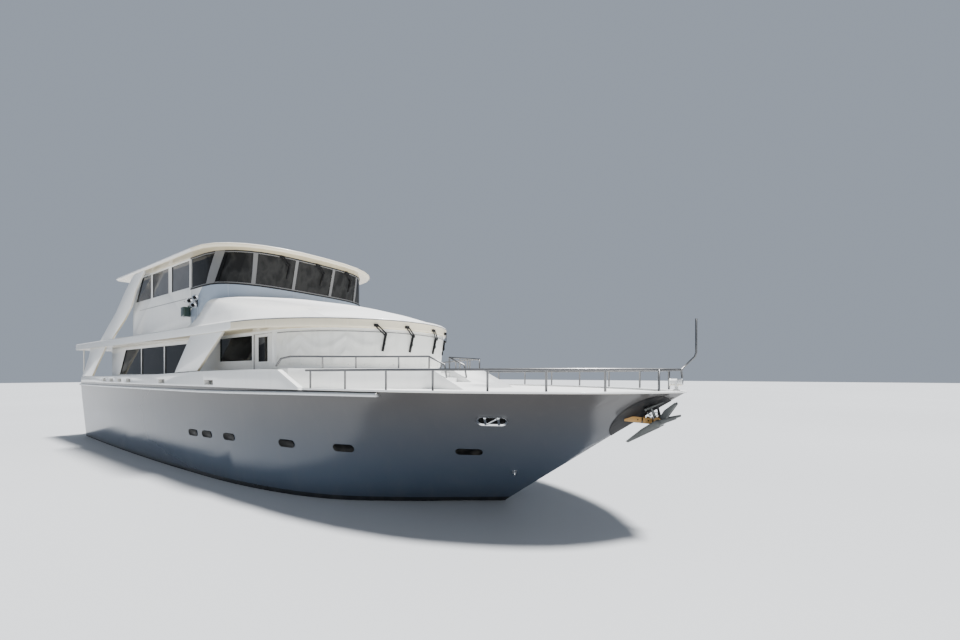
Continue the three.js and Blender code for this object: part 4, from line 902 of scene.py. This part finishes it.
class DressMetal(YachtOperator):
    """Rails, anchor gear, horns, searchlight, running gear and the platform astern"""
    bl_idname = "yacht.dress_metal"
    bl_label = "Rails and gear"

    RAILS = (*both("bow_rail", "platform_rail"), "stair_rail", "jackstaff")
    CHEEK = Vector((12.70, -0.262, 2.148)), Vector((13.10, -0.078, 2.108))     # ends to starboard
    PLATES, HOLES = ((-0.15, 0.56), (0.62, 1.0)), (0.40, 0.84)                 # shares of its length

    def execute(self, context):
        for node in self.RAILS:
            with editing(dressed(node, "steel", edge=0, angle=70)):
                bpy.ops.transform.shrink_fatten(value=0.006)
        dressed("bow_anchor", "galvanised", edge=0.006, angle=40)
        self.anchor_cheeks()
        self.anchor_gear()
        for side in SIDES:
            dressed(f"rub_rail_{side}", "moulding", edge=0.008)
            horn = dressed(f"horns_{side}", "chrome", edge=0.004, angle=40)
            with on_faces(horn, lambda c, n: n.x > 0.98, least=0.015):
                bpy.ops.mesh.inset(thickness=0.012, depth=0.0, use_individual=True)
                bpy.ops.mesh.inset(thickness=0.022, depth=-0.05, use_individual=True)
            # the sunk floor of each mouth is black: painted shade down the horn's bore
            paint_faces(horn, "black", lambda c, n: n.x > 0.98, least=0.008)
        dressed("anchor_plate", "black", edge=0.003)
        dressed("swim_platform", "teak", edge=0.01)
        for side in SIDES:
            propeller, rudder = f"propeller_{side}", f"rudder_{side}"
            dressed(f"propeller_shaft_{side}", "bronze", edge=0.003, angle=40)
            dressed(propeller, "bronze", edge=0.002, angle=45, body=propeller)
            dressed(rudder, "bottom", edge=0.006, angle=40, body=rudder)
        self.searchlight()
        for side, material in (("port", "red"), ("starboard", "green")):
            dressed(f"sidelight_{side}", material, edge=0.008)
        return {"FINISHED"}

    @staticmethod
    def searchlight():
        """Drum-shaped light with rims and a lens, on a stem, a foot and a yoke."""
        low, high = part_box("searchlight")
        x, z = (low.x + high.x) / 2, high.z - 0.072
        # ends, radii, sides, edge and its steps: drum, rims, stem, foot
        rods = (((low.x + 0.012, 0, z), (high.x - 0.012, 0, z), 0.062, None, 32, 0.010, 3),
                ((low.x + 0.002, 0, z), (low.x + 0.024, 0, z), 0.070, None, 32, 0.006, 2),
                ((high.x - 0.046, 0, z), (high.x - 0.024, 0, z), 0.070, None, 32, 0.006, 2),
                ((x, 0, low.z + 0.012), (x, 0, z - 0.045), 0.036, 0.028, 24, 0.004, 2),
                ((x, 0, low.z), (x, 0, low.z + 0.018), 0.066, 0.058, 32, 0.005, 2))
        parts = [rounded(new_rod(*form), edge, steps) for *form, edge, steps in rods]
        parts += [rounded(new_bar((x, y, z - 0.085), (x, y, z + 0.01), 0.030, 0.008, TO_PORT), 0.002)
                  for y in (-0.067, 0.067)]
        finish(joined("searchlight_body", *parts), "white", replaces=["searchlight"])
        lens = new_rod((high.x - 0.03, 0, z), (high.x - 0.004, 0, z), 0.056, 0.050, 32)
        finish(rounded(lens, 0.004), "pale_glass", name="searchlight_lens")

    def anchor_cheeks(self):
        """Painted plates with a pivot boss and black spots as holes, painted shade where no hole is cut, on
        both sides of the shank.
        """
        root, head = self.CHEEK
        outward = Vector((0.56, -0.83, 0))

        def bar(begin, stop, wide, deep):
            return new_bar(root.lerp(head, begin), root.lerp(head, stop), wide, deep, outward)

        # black at each hole's place is painted shade; no hole is cut through the plate
        def is_hole_shade(centre, normal):
            centre = Vector((centre.x, -abs(centre.y), centre.z)) - outward * 0.011
            return any((centre - root.lerp(head, at)).length < 0.004 for at in self.HOLES)
        bars = [bar(*ends, 0.108, 0.018) for ends in self.PLATES]
        bars += [bar(at - 0.035, at + 0.035, 0.028, 0.022) for at in self.HOLES]
        boss = new_rod((13.205, -0.19, 2.142), (13.205, -0.236, 2.142), 0.070, 0.052, 6)
        for cheek in finish_pair(rounded(joined("cheek", *bars, boss), 0.003), "anchor_cheek", "ochre"):
            paint_faces(cheek, "black", is_hole_shade)

    @staticmethod
    def anchor_gear():
        """A stowed fluke and a shackle with its pin, on both sides of the shank."""
        off_plate = Vector((0.49, -0.34, -0.80))
        foot = Vector((13.00, -0.31, 2.36)) + off_plate * 0.035
        tip = Vector((13.29, -0.225, 2.50)) + off_plate * 0.03
        blade = new_bar(foot, tip, 0.125, 0.022, off_plate)
        for vertex in blade.data.vertices:
            if (vertex.co - tip).length < (vertex.co - foot).length:
                vertex.co = vertex.co.lerp(tip, 0.78)
        spine = new_rod(foot, tip + (tip - foot) * 0.12, 0.018, 0.010)
        arm = new_rod(foot.lerp(tip, 0.35) + off_plate * 0.01, (13.19, -0.20, 2.17), 0.020, 0.026)
        finish_pair(rounded(joined("fluke", blade, spine, arm), 0.004), "anchor_fluke", "galvanised")
        place, step = Vector((13.07, -0.225, 2.25)), Vector((0.045, 0.004, -0.028))
        rings = [new_ring(0.034, 0.008, (20, 8), place + step * number, (turn, 1.1, 0.4))
                 for number, turn in enumerate((0.3, 1.7, 0.5))]
        pin = new_rod(place + Vector((-0.02, -0.05, 0.03)), place + Vector((0.03, 0.05, -0.03)), 0.010)
        finish_pair(joined("shackle", *rings, pin), "anchor_shackle", "moulding")


class FitCover(YachtOperator):
    """Woven cover over the front windows, with swags, hems and snap fasteners"""
    bl_idname = "yacht.fit_cover"
    bl_label = "Window cover"

    SPAN = 1.15             # between the points that it hangs from
    DEEPEST = 0.052         # of a fold
    CLOTH = 0.0035          # thickness
    SNAP_STEPS = 9          # snaps on each side of the centreline
    SNAP_TURN = 0.15        # angle from one to the next, round the corner

    def execute(self, context):
        low, high = (box.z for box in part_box("window_cover"))
        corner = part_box("house_front")[0].x

        def is_outer(centre, normal):
            return abs(normal.z) < 0.9 and normal.dot((centre - Vector((corner, 0, 0))).normalized()) > 0.3
        cover = cad_copy("window_cover", "cover_sheet", flat_angle=0.1)
        with on_faces(cover, lambda c, n: not is_outer(c, n)):
            bpy.ops.mesh.delete(type="FACE")
            bpy.ops.mesh.select_all(action="SELECT")
            bpy.ops.mesh.tris_convert_to_quads()
            for cuts in (9, 1):
                bpy.ops.mesh.subdivide(number_cuts=cuts, smoothness=0)
        self.fold(cover, low, high, corner)
        smooth(modified(cover, "SOLIDIFY", thickness=self.CLOTH, offset=1.0), 50)
        finish(cover, "cloth", replaces=["window_cover"])
        snaps = self.snaps(cover, low, high, corner)
        hem = skin_band("window_cover", "cover_hem", high - 0.045, high - 0.020, 0.006, is_outer)
        finish(hem, "grey")
        return {"FINISHED"}

    def fold(self, cover, low, high, corner):
        """Lifts nested swags and slanting pulls out of the sheet, deepest above and at its sides."""
        for vertex in cover.data.vertices:
            co = vertex.co
            # distance round the nose from the centreline, near enough for folds
            run = abs(math.atan2(co.y, max(co.x - corner, 0.01) * 1.05) * 2.55)
            down = (high - co.z) / (high - low)
            share = (run / self.SPAN + 0.35) % 1.0
            sag = 4 * share * (1 - share)
            swag = 0.5 + 0.5 * math.sin(math.tau * (2.4 * down - 0.85 * sag + 0.15 * math.sin(run * 2.1)))
            pull = 0.5 + 0.5 * math.cos(math.tau * (1.3 * run / self.SPAN + 0.9 * down))
            hang = min(max(down - 0.07, 0.0) / 0.12, 1.0) * min((1 - down) / 0.18, 1.0)
            side = 0.25 + 0.75 * min(max((run - 0.5) / 1.2, 0.0), 1.0)
            fade = 1.0 - 0.55 * down
            depth = self.DEEPEST * hang * side * (0.62 * swag ** 2 * fade + 0.38 * pull ** 3 * down)
            outward = Vector((max(co.x - corner, 0.0) * 0.9, co.y, 0)).normalized()
            vertex.co = co + outward * depth

    def snaps(self, cover, low, high, corner):
        """Small domed fasteners along the upper and lower hems, modelled once and copied."""
        bpy.ops.mesh.primitive_uv_sphere_add(segments=12, ring_count=6, radius=0.011)
        snap = settle(bpy.context.object, "snap")
        away, copies = 3.6, []      # farther from the corner than the cover is
        for height in (low + 0.03, high - 0.03):
            for step in range(-self.SNAP_STEPS, self.SNAP_STEPS + 1):
                angle = step * self.SNAP_TURN
                start = Vector((corner + away * math.cos(angle), away * math.sin(angle), height))
                toward = (Vector((corner, 0, height)) - start).normalized()
                hit, place, normal, _ = cover.ray_cast(start, toward)
                if hit:
                    copies.append(stand_on(duplicate(snap), place, normal))
        bpy.data.objects.remove(snap)
        return finish(joined("cover_snaps", *copies), "chrome")


class FitWipers(YachtOperator):
    """Black wipers on double arms, hanging over the front windows"""
    bl_idname = "yacht.fit_wipers"
    bl_label = "Wipers"

    # what carries the root, the end of its box and the height over it, what the blade hangs over, stand-off
    # of the blade, places across
    ROWS = (("boat_deck", 0, 0.07, "window_cover", 0.045, (-1.38, -0.61, 0.38, 1.25)),
            ("pilothouse_front", 1, -0.03, "pilothouse_glass", 0.085, (-1.22, 0.0, 1.22)))
    AHEAD = 9.0             # forward of everything that a wiper hangs on

    def execute(self, context):
        number = 0
        for carrier, level, rise, pane, off, places in self.ROWS:
            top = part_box(carrier)[level].z + rise
            for y in places:
                number += 1
                self.wiper(f"wiper_{number}", carrier, pane, off, y, top)
        return {"FINISHED"}

    def wiper(self, name, carrier, pane, off, y, top):
        """A motor, two arms side by side, a blade on its spine, a pivot and a washer nozzle."""
        reach = sizes().wiper_arm

        def over_pane(across, down, lift):
            place, normal = on_skin(pane, (self.AHEAD, y + across * reach, top - down * reach), ASTERN)
            return place + normal * lift
        root, outward = on_skin(carrier, (self.AHEAD, y, top), ASTERN)
        elbow, head = over_pane(0.46, 0.33, off + 0.05), over_pane(0.48, 0.26, off)
        tip, up = over_pane(0.44, 1.02, off), (0, 0, 1)
        spine = [head.lerp(tip, share) + outward * 0.025 for share in (0.12, 0.70)]
        nozzle = head.lerp(tip, 0.55)
        # ends, width, depth and facing of each bar
        bars = [(root - outward * 0.01, root + outward * 0.06, 0.10, 0.07, up)]
        bars += [(root + shift + outward * 0.045, elbow + shift, 0.034, 0.020, outward)
                 for shift in (Vector((0, -0.03, -0.02)), Vector((0, 0.03, 0.02)))]
        bars += [(head, tip, 0.062, 0.034, outward), (*spine, 0.030, 0.028, outward),
                 (elbow - outward * 0.05, elbow + outward * 0.02, 0.055, 0.055, up),
                 (nozzle + outward * 0.01, nozzle + outward * 0.05, 0.05, 0.09, up)]
        finish(joined(name, *(rounded(new_bar(*bar), 0.005) for bar in bars)), "black")


class FitHull(YachtOperator):
    """Hawses, portholes, mooring eyes and cleats, on both sides"""
    bl_idname = "yacht.fit_hull"
    bl_label = "Hull fittings"

    # distance aft of the stem head and height above the water
    HAWSE = (3.107, 2.118)
    EYE = (3.32, 0.853)
    CLEAT = (25.30, 2.13)
    # the same, and half the length
    PORTHOLES = ((3.96, 1.355, 0.29), (6.61, 1.34, 0.27), (8.29, 1.335, 0.27), (10.67, 1.32, 0.27),
                 (11.86, 1.30, 0.27), (12.72, 1.28, 0.27))
    BEYOND = -5             # to starboard of the hull
    SUNK = 0.004            # how far a fitting is set into the skin
    INBOARD = 0.42          # a cleat's distance in from it

    def execute(self, context):
        self.place_pair(self.hawse(), "hawse", *self.HAWSE, "chrome")
        # a black oval fills the hawse's opening: painted shade inside the hole
        throat = self.oval(0.268, 0.098, 0.0235, 0.004, sunk=0)
        self.place_pair(throat, "hawse_throat", *self.HAWSE, "rubber")
        for number, (aft, z, half) in enumerate(self.PORTHOLES, 1):
            self.place_pair(self.oval(half, 0.095, 0.022, 0.016), f"porthole_{number}", aft, z, "rubber")
        self.place_pair(self.eye(), "mooring_eye", *self.EYE, "chrome")
        self.cleats("cleat_1", *self.CLEAT)
        return {"FINISHED"}

    @staticmethod
    def oval(half_length, half_height, depth, rim, sunk=0.55):
        """A rimmed oval plate, facing +Z, with a sunk middle."""
        bpy.ops.mesh.primitive_cylinder_add(vertices=40, radius=half_height, depth=depth,
                                            location=(0, 0, depth / 2))
        plate = settle(bpy.context.object, "oval")
        for vertex in plate.data.vertices:
            if abs(vertex.co.x) > 1e-5:
                vertex.co.x += math.copysign(half_length - half_height, vertex.co.x)
        with on_faces(plate, lambda c, n: n.z > 0.9):
            bpy.ops.mesh.inset(thickness=rim)
            bpy.ops.transform.translate(value=(0, 0, -depth * sunk))
        return rounded(plate, 0.004, angle=40)

    def hawse(self):
        """A rimmed oval with two posts and a bar across it."""
        plate = self.oval(0.30, 0.130, 0.045, 0.034)
        posts = [new_rod((x, -0.100, 0.03), (x, 0.100, 0.03), 0.026, sides=14) for x in (-0.13, 0.13)]
        cross = new_rod((-0.10, -0.08, 0.035), (0.10, 0.08, 0.035), 0.020, sides=12)
        return joined("hawse", plate, *posts, cross)

    @staticmethod
    def eye():
        """A ring that stands on a small base."""
        ring = new_ring(0.05, 0.013, (24, 10), (0, 0, 0.05), (0, math.pi / 2, 0))
        return joined("eye", rounded(new_box((-0.05, -0.06, 0), (0.05, 0.06, 0.014)), 0.005), ring)

    def place_pair(self, piece, name, aft, z, material):
        """Puts a fitting on the starboard skin of the hull and its mirror image on the port one."""
        place, normal = on_skin("hull", (STEM_X - aft, self.BEYOND, z), TO_PORT)
        finish_pair(stand_on(piece, place - normal * self.SUNK, normal), name, material)

    def cleats(self, name, aft, z):
        """A cleat on each side deck, in from the hull's skin."""
        x = STEM_X - aft
        y = on_skin("hull", (x, self.BEYOND, z + 0.17), TO_PORT)[0].y + self.INBOARD
        base = rounded(new_box((x - 0.10, y - 0.035, z - 0.004), (x + 0.10, y + 0.035, z + 0.010)), 0.004)
        feet = [new_rod((x + dx, y, z), (x + dx, y, z + 0.055), 0.020, 0.016) for dx in (-0.06, 0.06)]
        horn = rounded(new_rod((x - 0.16, y, z + 0.065), (x + 0.16, y, z + 0.065), 0.016), 0.006, angle=50)
        finish_pair(joined("cleat", base, *feet, horn), name, "chrome")


class SetStage(YachtOperator):
    """Floor at the waterline, soft light and the camera"""
    bl_idname = "yacht.set_stage"
    bl_label = "Stage"

    CAMERA = (14.75, -8.33, 3.00)
    HEADING = (-0.5640, 0.8258, 0.0)
    # lens and film width in millimetres, and how far the picture is shifted up
    LENS, FILM, SHIFT = 15.19, 36, 0.0568
    # name, strength, tilt and heading, and spread, in degrees
    SUNS = (("key", 11.0, 17, 125, 8), ("fill", 0.35, 68, 75, 40))

    def execute(self, context):
        bpy.ops.mesh.primitive_plane_add(size=400)
        floor = settle(bpy.context.object, "stage_floor")
        ground = Surface("stage_floor")
        tone = ground.ramp(ground.noise(0.05, 2.0), 0.3, 0.7)
        floor.data.materials.append(
            ground.finished(ground.mix(tone, (0.46, 0.47, 0.48), (0.50, 0.51, 0.52)), 0.6))
        for name, strength, tilt, heading, spread in self.SUNS:
            turn = (math.radians(tilt), 0, math.radians(heading))
            bpy.ops.object.light_add(type="SUN", rotation=turn)
            light = bpy.context.object
            light.name = name
            light.data.energy = strength
            light.data.angle = math.radians(spread)
        context.scene.world = world = bpy.data.worlds.new("studio")
        world.use_nodes = True
        sky = world.node_tree.nodes["Background"].inputs
        sky["Color"].default_value = (0.74, 0.84, 1.0, 1)
        sky["Strength"].default_value = 0.45
        bpy.ops.object.camera_add(location=self.CAMERA,
                                  rotation=Vector(self.HEADING).to_track_quat("-Z", "Y").to_euler())
        context.scene.camera = bpy.context.object
        lens = context.scene.camera.data
        lens.lens, lens.sensor_width, lens.shift_y, lens.clip_end = self.LENS, self.FILM, self.SHIFT, 500
        return {"FINISHED"}


class YachtPanel(bpy.types.Panel):
    """Sidebar panel with the yacht's sizes, colours and operators"""
    bl_idname = "VIEW3D_PT_yacht"
    bl_label = "Motor yacht"
    bl_space_type = "VIEW_3D"
    bl_region_type = "UI"
    bl_category = "Yacht"

    def draw(self, context):
        for group in (context.scene.yacht_sizes, context.scene.yacht_colours):
            column = self.layout.column()
            for name in group.__annotations__:
                column.prop(group, name)
        for operator in OPERATORS:
            self.layout.operator(operator.bl_idname)


OPERATORS = (SetStage, BuildHull, DressHouses, FitGlass, FitTrim, FitDoors, DressMetal, FitCover, FitWipers,
             FitHull)
CLASSES = (YachtSizes, YachtColours, *OPERATORS, YachtPanel)


def register():
    for cls in CLASSES:
        bpy.utils.register_class(cls)
    bpy.types.Scene.yacht_sizes = bpy.props.PointerProperty(type=YachtSizes)
    bpy.types.Scene.yacht_colours = bpy.props.PointerProperty(type=YachtColours)


def unregister():
    del bpy.types.Scene.yacht_sizes
    del bpy.types.Scene.yacht_colours
    for cls in reversed(CLASSES):
        bpy.utils.unregister_class(cls)


def main():
    register()
    build_weather_group()
    build_height_group()
    build_weave_group()
    MATERIALS.update(build_materials())
    for operator in OPERATORS:
        area, name = operator.bl_idname.split(".")
        getattr(getattr(bpy.ops, area), name)()


if __name__ == "__main__":
    main()
